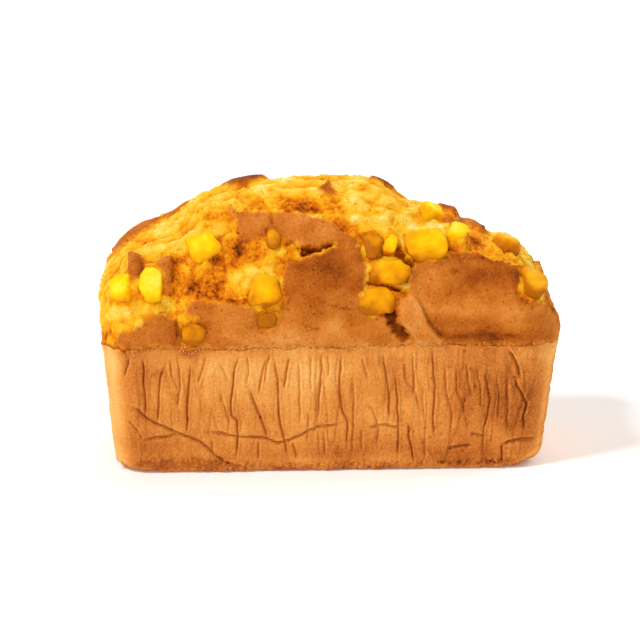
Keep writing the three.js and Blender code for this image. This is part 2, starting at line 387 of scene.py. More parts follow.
def rounded_rectangle(p, q, half_length, half_depth, corner):
    """Points of the unit square's edge, carried onto a rectangle with round corners."""
    x, y = np.abs(p) * half_length, np.abs(q) * half_depth
    past_x, past_y = x - (half_length - corner), y - (half_depth - corner)
    turned = (past_x > 0) & (past_y > 0)
    shrink = np.where(turned, np.maximum(past_x, past_y) / (np.hypot(past_x, past_y) + TINY), 1.0)
    x = np.where(turned, half_length - corner + past_x * shrink, x)
    y = np.where(turned, half_depth - corner + past_y * shrink, y)
    return np.sign(p) * x, np.sign(q) * y


def ridge_share(x):
    """How high the ridge is along the loaf, as a share of the dome's height."""
    share = np.ones_like(x)
    for towards, start, length, lost in RIDGE_FALLS:
        share = share - lost * smooth((towards * x - start) / length)
    return share


def dome(along, across):
    """The crown over the square map (along, across), from the rim up to the ridge."""
    ring = np.maximum(np.abs(along), np.abs(across))
    p = np.where(ring > 0, along / np.maximum(ring, TINY), 1.0)
    q = np.where(ring > 0, across / np.maximum(ring, TINY), 0.0)
    end_share = smooth((np.abs(p) - DOME_ENDS_FROM) / (1 - DOME_ENDS_FROM))
    angle = ring * math.pi / 2
    spread = np.sin(angle) ** (2 / between(SPREAD_POWERS, end_share))
    height = np.clip(np.cos(angle), 0, 1) ** (2 / between(HEIGHT_POWERS, end_share))
    bulge = RIM_BULGE * np.sin(math.pi * np.clip(height / BULGE_SHARE, 0, 1))
    corner = spread * between((RIM_DEPTH / 2, RIM_CORNER), spread) + bulge
    x, y = rounded_rectangle(p, q, RIM_LENGTH / 2 * spread + bulge, RIM_DEPTH / 2 * spread + bulge, corner)
    return np.stack([x, y, RIM_HEIGHT + DOME_HEIGHT * ridge_share(x) * height], -1)


def side(p, q, share):
    """The flaring side, from the floor (share 0) to the rim (share 1), with its rounded foot."""
    z = RIM_HEIGHT * share
    rounding = FOOT_ROUNDING
    for towards, end_rounding in END_FOOT_ROUNDINGS:
        end_share = smooth((towards * p - FOOT_ENDS_FROM) / (1 - FOOT_ENDS_FROM))
        rounding = rounding + (end_rounding - FOOT_ROUNDING) * end_share
    foot = rounding * (1 - np.sqrt(1 - (1 - np.clip(z / rounding, 0, 1)) ** 2))
    half_length = between((BASE_LENGTH, RIM_LENGTH), share) / 2 - foot
    half_depth = between((BASE_DEPTH, RIM_DEPTH), share) / 2 - foot
    x, y = rounded_rectangle(p, q, half_length, half_depth, between((BASE_CORNER, RIM_CORNER), share))
    return np.stack([x + BASE_SHIFT * (1 - share), y, np.full_like(x, z)], -1)


def edge_of_map(steps):
    """The edge of the square map, once round from the front left corner, divided into those steps."""
    along, across = (np.linspace(-1, 1, n + 1) for n in steps)
    p = np.concatenate([along[:-1], np.ones(steps[1]), along[:0:-1], -np.ones(steps[1])])
    q = np.concatenate([-np.ones(steps[0]), across[:-1], np.ones(steps[0]), across[:0:-1]])
    return p, q


def grid_normals(grid):
    """Normals of a grid of points, out of its first direction crossed with its second."""
    normal = np.cross(np.gradient(grid, axis=0), np.gradient(grid, axis=1))
    return normal / (np.linalg.norm(normal, axis=-1, keepdims=True) + TINY)


def smooth_crown():
    """Points of the smooth dome over the whole square map, and the ways out of it."""
    grid = dome(*np.meshgrid(*(np.linspace(-1, 1, n + 1) for n in CROWN_STEPS), indexing="ij"))
    return grid.reshape(-1, 3), grid_normals(grid).reshape(-1, 3)


# Places on the charts

def pixels(points):
    """Where the photograph shows points of the loaf."""
    from_aim = points - AIM
    scale = CAMERA_DISTANCE / (CAMERA_DISTANCE - from_aim @ BACK) / MM_PER_PIXEL
    return np.stack([AIM_PIXEL[0] + from_aim @ RIGHT * scale, AIM_PIXEL[1] - from_aim @ UP * scale], -1)


def line_distance(places, line):
    """How far places are from a line, signed by their side of it, and how far along it, from 0 to 1."""
    best, where = np.full(len(places), np.inf), np.zeros(len(places))
    line = np.array(line, float)
    lengths = np.linalg.norm(np.diff(line, axis=0), axis=1)
    passed = 0.0
    for start, end, length in zip(line[:-1], line[1:], lengths):
        step = end - start
        share = np.clip((places - start) @ step / length**2, 0, 1)
        off = places - start - share[:, None] * step
        away = np.copysign(np.linalg.norm(off, axis=1), off[:, 0] * step[1] - off[:, 1] * step[0])
        closer = np.abs(away) < np.abs(best)
        where = np.where(closer, (passed + share * length) / lengths.sum(), where)
        best = np.where(closer, away, best)
        passed += length
    return best, where


def outline_depth(places, outline):
    """How far places lie inside a closed outline; outside, the depth is negative."""
    away, _ = line_distance(places, (*outline, outline[0]))
    inside = np.zeros(len(places), bool)
    for (x0, y0), (x1, y1) in zip(outline, (*outline[1:], outline[0])):
        crosses = (y0 > places[:, 1]) != (y1 > places[:, 1])
        reach = (x1 - x0) * (places[:, 1] - y0) / (y1 - y0 if y1 != y0 else TINY) + x0
        inside ^= crosses & (places[:, 0] < reach)
    return np.where(inside, np.abs(away), -np.abs(away))


def spot(chart, centre, reach):
    """A soft patch on a chart: 1 at its centre, fading away over its reach."""
    return np.exp(-PATCH_FALL * (((chart.places + chart.stray - centre) / reach) ** 2).sum(1)) * chart.holds


def quarter_turned(vectors, quarters):
    """Vectors turned about the upright axis, so that another side of the loaf faces the camera."""
    for _ in range(quarters):
        vectors = vectors[:, (1, 0, 2)] * np.array([1.0, -1.0, 1.0])
    return vectors


def draw_charts(points, normals):
    """Each chart: the places of the points, how far they stray, the millimetres in a unit, where it holds."""
    stray = [uneven("stray_" + axis, points) + uneven("fine_stray_" + axis, points) for axis in "xy"]
    stray = np.stack(stray, -1)
    holds = smooth((normals[:, 2] - RIDGE_FACING) / CHART_FADE)
    charts = {"ridge": Chart(points[:, :2], RIDGE_STRAY * stray, 1.0, holds)}
    for quarters, name in enumerate(SIDES):
        least = FRONT_FACING if name == "front" else OTHER_FACING
        holds = smooth((quarter_turned(normals, quarters) @ BACK - least) / CHART_FADE)
        places = pixels(quarter_turned(points, quarters))
        charts[name] = Chart(places, SIDE_STRAY * stray, MM_PER_PIXEL, holds)
    return charts


# Meshes

def make_piece(name, points, faces, masks):
    """A mesh piece at the origin, with a named mask for each point."""
    mesh = bpy.data.meshes.new(name)
    mesh.from_pydata((points * MM).tolist(), [], faces)
    mesh.polygons.foreach_set("use_smooth", [True] * len(mesh.polygons))
    for mask, values in masks.items():
        kind = "FLOAT_VECTOR" if values.ndim > 1 else "INT" if values.dtype.kind == "i" else "FLOAT"
        attribute = mesh.attributes.new(mask, kind, "POINT")
        attribute.data.foreach_set("vector" if values.ndim > 1 else "value", values.ravel())
    mesh.update()
    piece = bpy.data.objects.new(name, mesh)
    bpy.context.scene.collection.objects.link(piece)
    return piece


def joined_copy(name, pieces):
    """One object that holds copies of the meshes of several pieces."""
    copies = [bpy.data.objects.new(name, piece.data.copy()) for piece in pieces]
    for copy in copies:
        bpy.context.scene.collection.objects.link(copy)
    with bpy.context.temp_override(active_object=copies[0], selected_editable_objects=copies):
        bpy.ops.object.join()
    return copies[0]


def quads(*corners):
    """Faces from four arrays that hold their corners in turn."""
    return np.stack(corners, -1).reshape(-1, 4).tolist()


def fan(starts, ends, middle):
    """Triangles from the edges of a ring, given by where they start and end, to a corner in its middle."""
    return np.stack([starts, ends, np.full(len(starts), middle)], -1).tolist()


# The crown. Widths and heights are in millimetres; tones and shares have no unit.

RIM_INSET = 0.1
WOBBLE_OUT_REACH, WOBBLE_UP_REACH = 3.0, 7.0  # how far above and below the rim it wobbles
BIG_HEIGHT, MEDIUM_HEIGHT, GRAIN_HEIGHT = 1.5, 0.8, 0.6
FINE_HEIGHTS = (0.4, 1.3)  # of the finest grains, where the crumb is soft and where it is grainy
BIG_LOST, MEDIUM_LOST = 0.45, 0.65  # how much of the lumps grainy crumb loses
LUMP_STEEPNESS, LUMP_CREASE = 1.7, 0.6
CRUMB_SINK = 1.3  # how far the crumb lies under the smooth dome

BELT_LOW, BELT_RISE = 1.6, 2.5  # how high the belt of crust along the rim reaches, at least and on average
BELT_FADE, BELT_LIFT, BELT_TONE = 1.2, 0.3, 0.41
LEFT_END_FROM, LEFT_END_FADE = 0.85, 0.1  # where the belt dies away, as shares of the half length
FLAP_LIFT = 1.0  # plates that stand higher are flaps, with cleaner edges
FLAP_STRAY, FLAP_CRUMBLING = 0.25, 0.3
STEP_WIDTH, EDGE_FADE = 0.8, 1.7  # of a plate's edge: its step, and the change of colour
CURL_LIMIT, CURL_WIDTH, CURL_REACH = 0.5, 1.5, 9.0
RIM_PALENESS, PALE_HEIGHT = 0.12, 6.0
FAR = 99.0

TOASTED_WIDTH, TOASTED_CRUMB, TOASTED_CRUST = 1.8, 0.2, 0.1
BROKEN_WIDTH, BROKEN_PALENESS = 0.5, 0.14
EDGES_BAKED = 0.6  # adds to the fields that say which edges are toasted or broken
BROWNED_LIMIT = 0.42
CALM_CRUMB = ((118, 316), (30, 26), 0.65, 0.9)  # a softer zone on the front: pixel, reach, share and depth
FALLEN_CRUMBS = ((466, 260), (8, 4), 0.3)  # on top of the right plate: pixel, reach and amount

# Crumb round the fruit
FRUIT_SEARCH = 20.0
NO_FRUIT = -100.0
COLLAR_WIDTH, COLLAR_DROP, COLLAR_LIMIT, PROUD_COLLAR = 2.6, 0.3, 1.0, -1.0
COLLAR_UNEVEN = 0.9
BARE_FACING, BARE_FADE, BARE_UNEVEN = 0.82, 0.12, 0.2  # faces that look out this squarely are free of crumb
# How far the painted shade round the fruit reaches, in millimetres
NOOK_SHADE_WIDTH = 1.1


def fruit_seats(fruit, points, normals):
    """What the fruit does over each point of the smooth crown.

    How high it stands there, or NO_FRUIT, how squarely it faces out, how near the nearest die is,
    and how far the face of that die stands over the crown.
    """
    mesh = fruit.data
    number = [value.value for value in mesh.attributes["die"].data]
    tree = BVHTree.FromPolygons([vertex.co / MM for vertex in mesh.vertices],
                                [tuple(polygon.vertices) for polygon in mesh.polygons])
    tops, near = np.full(len(points), NO_FRUIT), np.full(len(points), FRUIT_SEARCH)
    facing, stands = np.zeros(len(points)), np.zeros(len(points))
    for i, (point, normal) in enumerate(zip(points, normals)):
        _, _, face, away = tree.find_nearest(Vector(point), FRUIT_SEARCH / 2)
        if away is None:
            continue
        near[i] = away
        stands[i] = STANDING[number[mesh.polygons[face].vertices[0]]]
        above = Vector(point + normal * FRUIT_SEARCH)
        hit, turned, _, deep = tree.ray_cast(above, Vector(-normal), 1.6 * FRUIT_SEARCH)
        if hit is not None:
            tops[i] = FRUIT_SEARCH - deep
            facing[i] = turned.dot(Vector(normal))
    return tops, facing, near, stands


def wobble_rim(points, smooth_points):
    """Points moved so that the seam at the rim runs unevenly; the wobble dies away above and below."""
    along_rim = smooth_points * FLAT
    out = uneven("rim_out", along_rim) - RIM_INSET
    up = uneven("rim_up", along_rim) + uneven("fine_rim_up", along_rim)
    away = np.abs(smooth_points[:, 2] - RIM_HEIGHT)
    plan = smooth_points * np.array([1.0 / RIM_LENGTH, 1.0 / RIM_DEPTH, 0.0])
    outward = plan / (np.linalg.norm(plan, axis=1, keepdims=True) + TINY)
    move = outward * (out * smooth(1 - away / WOBBLE_OUT_REACH))[:, None]
    move[:, 2] = up * smooth(1 - away / WOBBLE_UP_REACH)
    return points + move


def torn_crumb(points, grainy):
    """Height of the torn crumb, and how far each place rises out of its creases, for painted light on the
    lumps and painted shade between them.

    Big soft lumps are drawn out along the ridge, and broken into fine grains where the crumb is grainy.
    """
    def soft_lumps(name, places, lost):
        top = smooth(LUMP_STEEPNESS * lumps(name, places) - LUMP_CREASE)
        return (1 - lost * grainy) * (top - 0.5)

    pulled = points + np.stack([uneven("pull_" + axis, points) for axis in "xyz"], -1)
    big = soft_lumps("big", pulled * DRAWN_ALONG, BIG_LOST)
    medium = soft_lumps("medium", pulled, MEDIUM_LOST)
    grains = GRAIN_HEIGHT * (lumps("grain", points) - LUMP_MEAN)
    grains = grains + between(FINE_HEIGHTS, grainy) * (lumps("fine_grain", points) - LUMP_MEAN)
    height = BIG_HEIGHT * big + MEDIUM_HEIGHT * medium + grains + uneven("crumb_swell", points) - CRUMB_SINK
    return height, 0.9 * (big + medium) + 0.8 * grains


def crust_plates(points, charts):
    """The crust, a belt along the rim and broken plates above: height, cover, darkness, way to its edge."""
    above_rim = points[:, 2] - RIM_HEIGHT
    crumbling = uneven("fine_crust_edge", points) + uneven("crust_edge", points)
    left_end = smooth((-2 * points[:, 0] / RIM_LENGTH - LEFT_END_FROM) / LEFT_END_FADE)
    belt_share = (1 - charts["front"].holds) * (1 - 0.9 * left_end)
    belt_top = BELT_LOW - left_end + belt_share * (BELT_RISE + uneven("belt_top", points * DRAWN_UP))
    cover = smooth((belt_top - above_rim) / BELT_FADE + 0.5 + crumbling)
    height = BELT_LIFT * cover
    tone = np.full(len(points), BELT_TONE)
    edge = np.full(len(points), FAR)
    for name, lift, darkness, outline in PLATES:
        places, stray, unit, holds = charts[name]
        straying, crumbled = (FLAP_STRAY, FLAP_CRUMBLING) if lift > FLAP_LIFT else (1.0, 1.0)
        inside = outline_depth(places + straying * stray, outline) * unit
        curl = min(lift, CURL_LIMIT) * np.exp(-np.clip(inside, 0, CURL_REACH) / CURL_WIDTH)
        height = np.maximum(height, (lift + curl) * smooth(inside / STEP_WIDTH + 0.5) * holds)
        share = smooth(inside / EDGE_FADE + 0.5 + crumbled * crumbling) * holds
        tone = tone + (darkness - tone) * share
        cover = np.maximum(cover, share)
        edge = np.minimum(edge, np.where(holds > 0.5, np.abs(inside), FAR))
    return height, cover, tone - RIM_PALENESS * smooth(1 - above_rim / PALE_HEIGHT), edge


def baked_tones(points, front, tone, edge):
    """How browned the crumb is and how dark the crust, with baked edges and the zones of the front."""
    toasted = np.exp(-edge / TOASTED_WIDTH) * smooth(uneven("toasted_edge", points) + EDGES_BAKED)
    broken = np.exp(-((edge / BROKEN_WIDTH) ** 2)) * smooth(uneven("broken_edge", points) + EDGES_BAKED)
    browned = (uneven("crumb_brown", points) + 0.05) * (1 - 0.8 * front.holds)
    browned = browned + uneven("fine_crumb_brown", points) + TOASTED_CRUMB * toasted
    tone = tone + (0.12 - 0.05 * front.holds) * uneven("crust_tone", points)
    tone = tone + TOASTED_CRUST * toasted - BROKEN_PALENESS * broken
    for centre, reach, amount in CRUMB_ZONES:
        browned = browned + amount * spot(front, centre, reach)
    for centre, reach, amount in CRUST_ZONES:
        tone = tone + amount * spot(front, centre, reach)
    return browned, tone


def swell(points, charts):
    """How far the crown swells or dips."""
    relief = np.zeros(len(points))
    high = smooth((points[:, 2] - RIM_HEIGHT - VALLEY_FOOT) / VALLEY_RISE)
    for place, half_width, depth in VALLEYS:
        relief = relief - depth * np.exp(-(((points[:, 0] - place) / half_width) ** 2)) * high
    for name, centre, reach, height in SWELLS:
        relief = relief + height * spot(charts[name], centre, reach)
    return relief


def torn_gaps(points, charts):
    """Relief of the gaps between the plates, with crumbs in them, and how hollow each place is, for painted
    shade.
    """
    relief, hollow = np.zeros(len(points)), np.zeros(len(points))
    edge = uneven("gap_edge", points)
    for name, half_width, depth, line in GAPS:
        places, stray, _, holds = charts[name]
        away, _ = line_distance(places + GAP_STRAY * stray, line)
        share = smooth(1.5 - np.abs(away) / half_width + edge) * holds
        relief = relief - depth * share
        hollow = np.maximum(hollow, smooth(1.4 * share) * min(1.0, depth / FULL_GAP_DEPTH))
    return relief + 1.3 * (lumps("gap_crumb", points) - LUMP_MEAN) * hollow, hollow


def seat_fruit(fruit, points, normals, relief, hollow):
    """Relief with a collar of crumb round each die and none on its face, and how near the dice are."""
    tops, facing, near, stands = fruit_seats(fruit, points, normals)
    clinging = smooth(uneven("clinging", points) + 0.9) * (1 - 0.8 * hollow)
    collar = np.exp(-((near / COLLAR_WIDTH) ** 2)) * clinging
    wavy = uneven("collar", points)
    level = np.where(stands > PROUD, PROUD_COLLAR, np.minimum(stands, COLLAR_LIMIT) - COLLAR_DROP)
    relief = relief + (level + COLLAR_UNEVEN * wavy - relief) * collar
    bare = smooth((facing - BARE_FACING - BARE_UNEVEN * wavy) / BARE_FADE)
    under_fruit = relief + bare * (np.minimum(relief, tops - COLLAR_DROP) - relief)
    return np.where(tops > NO_FRUIT / 2, under_fruit, relief), near


def crown_relief(fruit, points, normals):
    """How far the crown stands off its smooth dome, and the masks that colour it."""
    charts = draw_charts(points, normals)
    front = charts["front"]
    plate_height, cover, tone, edge = crust_plates(points, charts)
    browned, tone = baked_tones(points, front, tone, edge)
    torn, rise = torn_crumb(points, smooth(3.2 * browned + uneven("grainy", points)))
    centre, reach, calm, depth = CALM_CRUMB
    torn = torn - calm * spot(front, centre, reach) * (torn + depth)
    crust = uneven("crust_swell", points) + uneven("crust_grain", points) + plate_height
    gaps, hollow = torn_gaps(points, charts)
    relief = torn * (1 - cover) + crust * cover + swell(points, charts) + gaps
    relief, near = seat_fruit(fruit, points, normals, relief, hollow)

    above_rim = points[:, 2] - RIM_HEIGHT
    along_rim = points * FLAT
    split = smooth(1.2 - above_rim / 0.8) * smooth(uneven("seam_split", along_rim) + 0.1)
    crumbly = np.clip(0.9 - 1.3 * cover - hollow, 0, 1) * smooth(uneven("crown_crumbs", points))
    crumbly = crumbly + 0.7 * smooth(1.3 - above_rim / 1.4) * smooth(uneven("seam_crumbs", along_rim) + 0.3)
    centre, reach, amount = FALLEN_CRUMBS
    masks = {
        "cover": cover,
        "tone": tone,
        "browned": BROWNED_LIMIT * np.tanh(browned / BROWNED_LIMIT),
        # hollow paints the gaps and the split seam darker: painted shade
        "hollow": np.maximum(hollow, 0.5 * split),
        "seam": smooth(1.3 - above_rim / 2.0),
        # painted shade in the crumb round the fruit
        "nook_shade": np.exp(-near / NOOK_SHADE_WIDTH),
        # painted light and shade: paler on the lumps, darker in their creases
        "rise": rise,
        "crumbly": crumbly + amount * spot(front, centre, reach),
        "inside": np.zeros(len(points)),
    }
    return relief * smooth(above_rim / 5.0), masks


CROWN_FLOOR = np.array([[0.0, 0.0, RIM_HEIGHT - 1.0]])


def crown_piece(fruit):
    """The burst crown: plates, torn crumb, gaps, and seats for the fruit; closed by a floor inside."""
    smooth_points, normals = smooth_crown()
    relief, masks = crown_relief(fruit, smooth_points, normals)
    points = wobble_rim(smooth_points + normals * relief[:, None], smooth_points)
    index = np.arange(len(points)).reshape([n + 1 for n in CROWN_STEPS])
    rim = np.concatenate([index[:-1, 0], index[-1, :-1], index[:0:-1, -1], index[0, :0:-1]])
    faces = quads(index[:-1, :-1], index[1:, :-1], index[1:, 1:], index[:-1, 1:])
    faces += fan(np.roll(rim, -1), rim, len(points))
    masks = {name: np.append(values, float(name == "inside")) for name, values in masks.items()}
    return make_piece("burst_crown", np.concatenate([points, CROWN_FLOOR]), faces, masks)


# The sides. Creases that the lining paper left in the front: depth share, and the line in pixels

FRONT_CREASES = (
    (0.8, ((143, 358), (144, 380), (145, 400), (145, 417))),
    (0.8, ((165, 364), (160, 380), (159, 400), (158, 424))),
    (1.0, ((190, 363), (189, 385), (188, 402), (187, 420), (186, 437))),
    (1.0, ((239, 354), (235, 370), (233, 390), (231, 406), (232, 416), (237, 421), (238, 436), (237, 450),
           (235, 462))),
    (0.9, ((249, 389), (255, 405), (261, 420), (265, 432), (268, 442))),
    (0.6, ((266, 359), (262, 375), (258, 396))),
    (0.9, ((274, 358), (278, 380), (278, 400), (280, 420), (284, 440), (288, 459))),
    (0.7, ((289, 356), (287, 370), (284, 390))),
    (0.7, ((321, 352), (321, 380), (319, 400), (317, 422))),
    (0.8, ((341, 351), (340, 372), (340, 395), (342, 412), (348, 421), (347, 436), (346, 451))),
    (0.7, ((382, 354), (386, 372), (388, 390), (390, 420))),
    (0.9, ((395, 372), (397, 400), (398, 420), (398, 440), (398, 460))),
    (0.9, ((407, 423), (410, 440), (412, 452), (414, 464))),
    (0.9, ((433, 349), (433, 370), (435, 386), (434, 405), (433, 425), (435, 440))),
    (0.65, ((487, 366), (486, 380), (490, 400), (487, 416), (484, 431), (483, 455))),
    (1.0, ((507, 350), (512, 354), (516, 361), (519, 370), (521, 379))),
    (0.75, ((514, 374), (516, 385), (522, 394), (527, 404), (524, 416), (524, 432))),
    (1.0, ((502, 443), (502, 463))),
    (0.5, ((293, 442), (297, 460))),
    (0.5, ((128, 358), (124, 378))),
    (0.4, ((206, 356), (202, 370), (198, 386))),
    (0.4, ((219, 392), (224, 405), (230, 426))),
    (0.3, ((219, 364), (229, 382))),
    (0.4, ((170, 358), (171, 376), (180, 396))),
    (0.4, ((308, 412), (307, 442))),
    (0.4, ((310, 356), (311, 392))),
    (0.3, ((328, 354), (328, 378))),
    (0.4, ((362, 358), (368, 380))),
    (0.4, ((366, 402), (373, 412), (378, 428), (377, 446))),
    (0.4, ((404, 360), (406, 382), (416, 396), (420, 412))),
    (0.3, ((422, 384), (424, 420))),
    (0.4, ((456, 364), (457, 392), (463, 406), (468, 432))),
    (0.3, ((477, 366), (480, 386), (481, 410))),
    (0.4, ((352, 380), (354, 404), (352, 456))),
    (0.9, ((124, 406), (138, 411), (146, 418), (160, 426), (172, 431), (186, 437), (198, 441), (207, 448),
           (215, 456), (224, 462), (236, 466))),
    (0.8, ((198, 433), (213, 433), (238, 437), (262, 438), (278, 443), (290, 440), (300, 435), (310, 430),
           (320, 427), (331, 425), (348, 421))),
    (0.7, ((368, 427), (382, 425), (400, 428))),
    (0.5, ((142, 441), (155, 438), (168, 437), (180, 433))),
    (0.4, ((269, 355), (266, 370), (265, 384))),
    (0.4, ((178, 364), (180, 388), (177, 410))),
    (0.3, ((246, 356), (249, 372), (246, 384))),
    (0.4, ((298, 360), (300, 392), (299, 424))),
    (0.4, ((412, 354), (414, 374), (413, 398))),
    (0.4, ((444, 362), (446, 392), (452, 416), (450, 440))),
    (0.4, ((466, 362), (468, 380), (472, 398))),
    (0.4, ((496, 372), (499, 392), (498, 424))),
    (0.4, ((506, 372), (508, 400), (507, 430))),
    (0.3, ((212, 440), (213, 458))),
    (0.3, ((258, 442), (259, 460))),
    (0.3, ((324, 432), (325, 456))),
    (0.3, ((362, 430), (361, 452))),
    (0.3, ((424, 438), (425, 458))),
    (0.4, ((128, 420), (136, 430), (143, 441))),
    (0.6, ((446, 449), (460, 446), (472, 445))),
    (0.6, ((470, 433), (487, 437))),
    (1.0, ((502, 444), (510, 441), (520, 439), (530, 439), (537, 437))),
)
CREASE_HALF_WIDTH = 0.33
LEVEL_WIDENING = 0.8  # how much wider a level crease is than an upright one
CREASE_DEPTH = 1.2
PANEL_HALF_WIDTH = 2.4
PANEL_DEPTH = 0.36
LIP_AWAY = 0.8
LIP_HALF_WIDTH = 0.4
LIP_HEIGHT = 0.5
# The lip beside each crease is painted paler: a painted highlight
LIP_PAINTED_HIGHLIGHT = 0.6
WRINKLE_WIDTH, WRINKLE_DEPTH, WRINKLE_SHADE = 0.17, 0.42, 0.3

# Creases made up for the whole way round, in millimetres: how many, how high, how long, and the seed
UPRIGHT_CREASES = 120
CREASE_HEIGHTS = (3, 47)
SHORTEST_CREASE = 20
LEVEL_HEIGHTS, LEVEL_LENGTHS = (6, 16), (14, 40)
CREASE_SEED = 7

# Browner and paler patches of the side on the front: pixel, reach in pixels, and amount.
# The browner right part at (490, 405) and (530, 402) is partly browning and partly painted shade,
# and the pale strip at (106, 395) along the left edge is a painted highlight.
SIDE_ZONES = (
    ((490, 405), (58, 54), 0.3),
    ((530, 402), (24, 50), 0.24),
    ((140, 380), (34, 50), 0.16),
    ((165, 445), (55, 18), 0.22),
    ((285, 385), (90, 40), -0.1),
    ((470, 456), (80, 12), 0.14),
    ((106, 395), (10, 60), -0.2),
    ((330, 455), (110, 9), 0.1),
    ((140, 417), (26, 18), 0.14),
    ((188, 351), (13, 7), 0.3),
    ((320, 460), (26, 6), -0.1),
    ((385, 458), (20, 8), -0.2),
    ((160, 350), (60, 8), 0.1),
    ((330, 450), (220, 16), 0.16),
    ((546, 395), (10, 60), -0.03),
    ((285, 375), (70, 24), -0.08),
)
# How much lighter the two ends are painted; on the left end this is painted light.
LEFT_END_PAINTED_LIGHT, RIGHT_END_LIGHTENING = 0.28, 0.04  # of the two ends

# The scorched place of the foot, and places of it that shed crumbs: pixel, and reach in pixels
SCORCHED = ((182, 464), (66, 7))
SHEDDING = (((316, 459), (18, 6)), ((374, 457), (18, 8)))

FRONT_FACES_FROM, FRONT_FACE_FADE = 0.45, 0.25
FRONT_STRAY, ROUND_STRAY = 1.4, 0.5  # how far creases stray, in pixels and in millimetres
CORNER_CREASED = 0.12  # how much of the creases is left on the rounded corners
CLOT_HEIGHT, CLOT_MEAN = 1.5, 0.65
SIDES_LID = RIM_HEIGHT - 2.0
CLOSING_MASKS = {"crease_shade_and_highlight": 0.0, "browned": 0.1, "foot": 0.6, "seam": 0.0, "crumbly": 0.0, "cover": 1.0,
                 "inside": 1.0}


def random_creases(length_round):
    """Creases for the whole way round: depth share, and a line in millimetres round and up."""
    rng = np.random.default_rng(CREASE_SEED)
    made = []
    for number in range(UPRIGHT_CREASES):
        start = (number + rng.uniform(-0.4, 0.4)) * length_round / UPRIGHT_CREASES
        low, high = np.sort(rng.uniform(*CREASE_HEIGHTS, 2))
        high = min(CREASE_HEIGHTS[1], max(high, low + SHORTEST_CREASE))
        heights = np.linspace(low, high, 6)
        lean = rng.normal(0, 0.08)
        round_at = start + lean * (heights - low) + np.cumsum(rng.normal(0, 0.5, 6))
        made.append((rng.uniform(0.3, 1.0), np.stack([round_at, heights], -1)))
    for _ in range(UPRIGHT_CREASES // 8):
        start = rng.uniform(0, length_round)
        round_at = start + np.linspace(0, rng.uniform(*LEVEL_LENGTHS), 7)
        heights = rng.uniform(*LEVEL_HEIGHTS) + np.cumsum(rng.normal(0, 1.1, 7))
        made.append((rng.uniform(0.5, 0.9), np.stack([round_at, heights], -1)))
    return made


def press_creases(chart, creases):
    """Relief that the creases press into each place, and the painted shade of each groove with a painted
    highlight on its lip.
    """
    places = chart.places + chart.stray
    relief, crease_shade_and_highlight = np.zeros(len(places)), np.zeros(len(places))
    reach = 2.5 * PANEL_HALF_WIDTH / chart.unit
    for strength, line in creases:
        low, high = np.min(line, 0) - reach, np.max(line, 0) + reach
        close = np.flatnonzero(((places > low) & (places < high)).all(1) & (chart.holds > 0.01))
        away, where = line_distance(places[close], line)
        away = away * chart.unit
        share = strength**0.6 * smooth(5 * np.minimum(where, 1 - where) + 0.15) * chart.holds[close]
        across, upward = np.ptp(line, axis=0)
        half_width = CREASE_HALF_WIDTH * (1 + LEVEL_WIDENING * across / (across + upward))
        groove = np.exp(-((away / half_width) ** 2))
        panel = np.exp(-((away / PANEL_HALF_WIDTH) ** 2))
        lip = np.exp(-(((away - LIP_AWAY) / LIP_HALF_WIDTH) ** 2))
        lower = share * (LIP_HEIGHT * lip - CREASE_DEPTH * groove - PANEL_DEPTH * panel)
        relief[close] = np.where(np.abs(lower) > np.abs(relief[close]), lower, relief[close])
        # painted shade in the groove, and a painted highlight on the lip
        darker = np.maximum(crease_shade_and_highlight[close], share * groove)
        crease_shade_and_highlight[close] = np.where(groove > lip, darker, crease_shade_and_highlight[close] - LIP_PAINTED_HIGHLIGHT * share * lip)
    return relief, crease_shade_and_highlight


def creased_relief(points, front, unrolled, flat, length_round):
    """Relief of the paper's creases, pleats and wrinkles, the painted shade of creases and wrinkles, and the
    painted highlight of the lips.
    """
    drawn, crease_shade_and_highlight = press_creases(front, FRONT_CREASES)
    other, more_crease_shading = press_creases(unrolled, random_creases(length_round))
    crease_shade_and_highlight = np.where(np.abs(more_crease_shading) > np.abs(crease_shade_and_highlight), more_crease_shading, crease_shade_and_highlight)
    pleats = (uneven("pleats", points * DRAWN_UP) + uneven("fine_pleats", points * DRAWN_UP)) * flat
    folded = np.abs(uneven("wrinkles", points * WRINKLES_UP))
    wrinkles = smooth(1 - folded / WRINKLE_WIDTH) * smooth(uneven("wrinkled", points) + 0.6) * flat
    wrinkle_shade = WRINKLE_SHADE * wrinkles
    crease_shade_and_highlight = np.where(wrinkle_shade > np.abs(crease_shade_and_highlight), wrinkle_shade, crease_shade_and_highlight)
    return pleats + drawn + other * (1 - 0.5 * front.holds) - WRINKLE_DEPTH * wrinkles, crease_shade_and_highlight


def side_masks(points, normals, front, clots):
    """How browned the sides are, with painted light and shade in it, how dark along the foot, and how
    crumbly.
    """
    height = points[:, 2]
    browned = uneven("side_brown", points) * (1 - 0.7 * front.holds)
    for centre, reach, amount in SIDE_ZONES:
        browned = browned + amount * spot(front, centre, reach)
    # the ends are painted lighter; on the left end this is painted light
    for towards, lightening in ((-1, LEFT_END_PAINTED_LIGHT), (1, RIGHT_END_LIGHTENING)):
        browned = browned - lightening * smooth((towards * normals[:, 0] - 0.35) / 0.4)
    foot = smooth(1.3 - height / 4.0) * (0.7 + uneven("foot_brown", points))
    foot = (foot + 1.6 * spot(front, *SCORCHED)) * (1.9 - 1.6 * clots)
    low_down = smooth(1.6 - height / 3.0) * smooth((height - 0.8) / 0.5)
    along_seam = smooth(1 - (RIM_HEIGHT - height) / 3.5)
    crumbly = (2.2 * along_seam + 0.3 * low_down) * smooth(uneven("side_crumbs", points))
    for centre, reach in SHEDDING:
        crumbly = crumbly + spot(front, centre, reach) * low_down
    return {
        "browned": browned,
        "foot": np.clip(foot, 0, 1),
        "crumbly": crumbly,
        "cover": np.ones(len(points)),
        "inside": np.zeros(len(points)),
    }


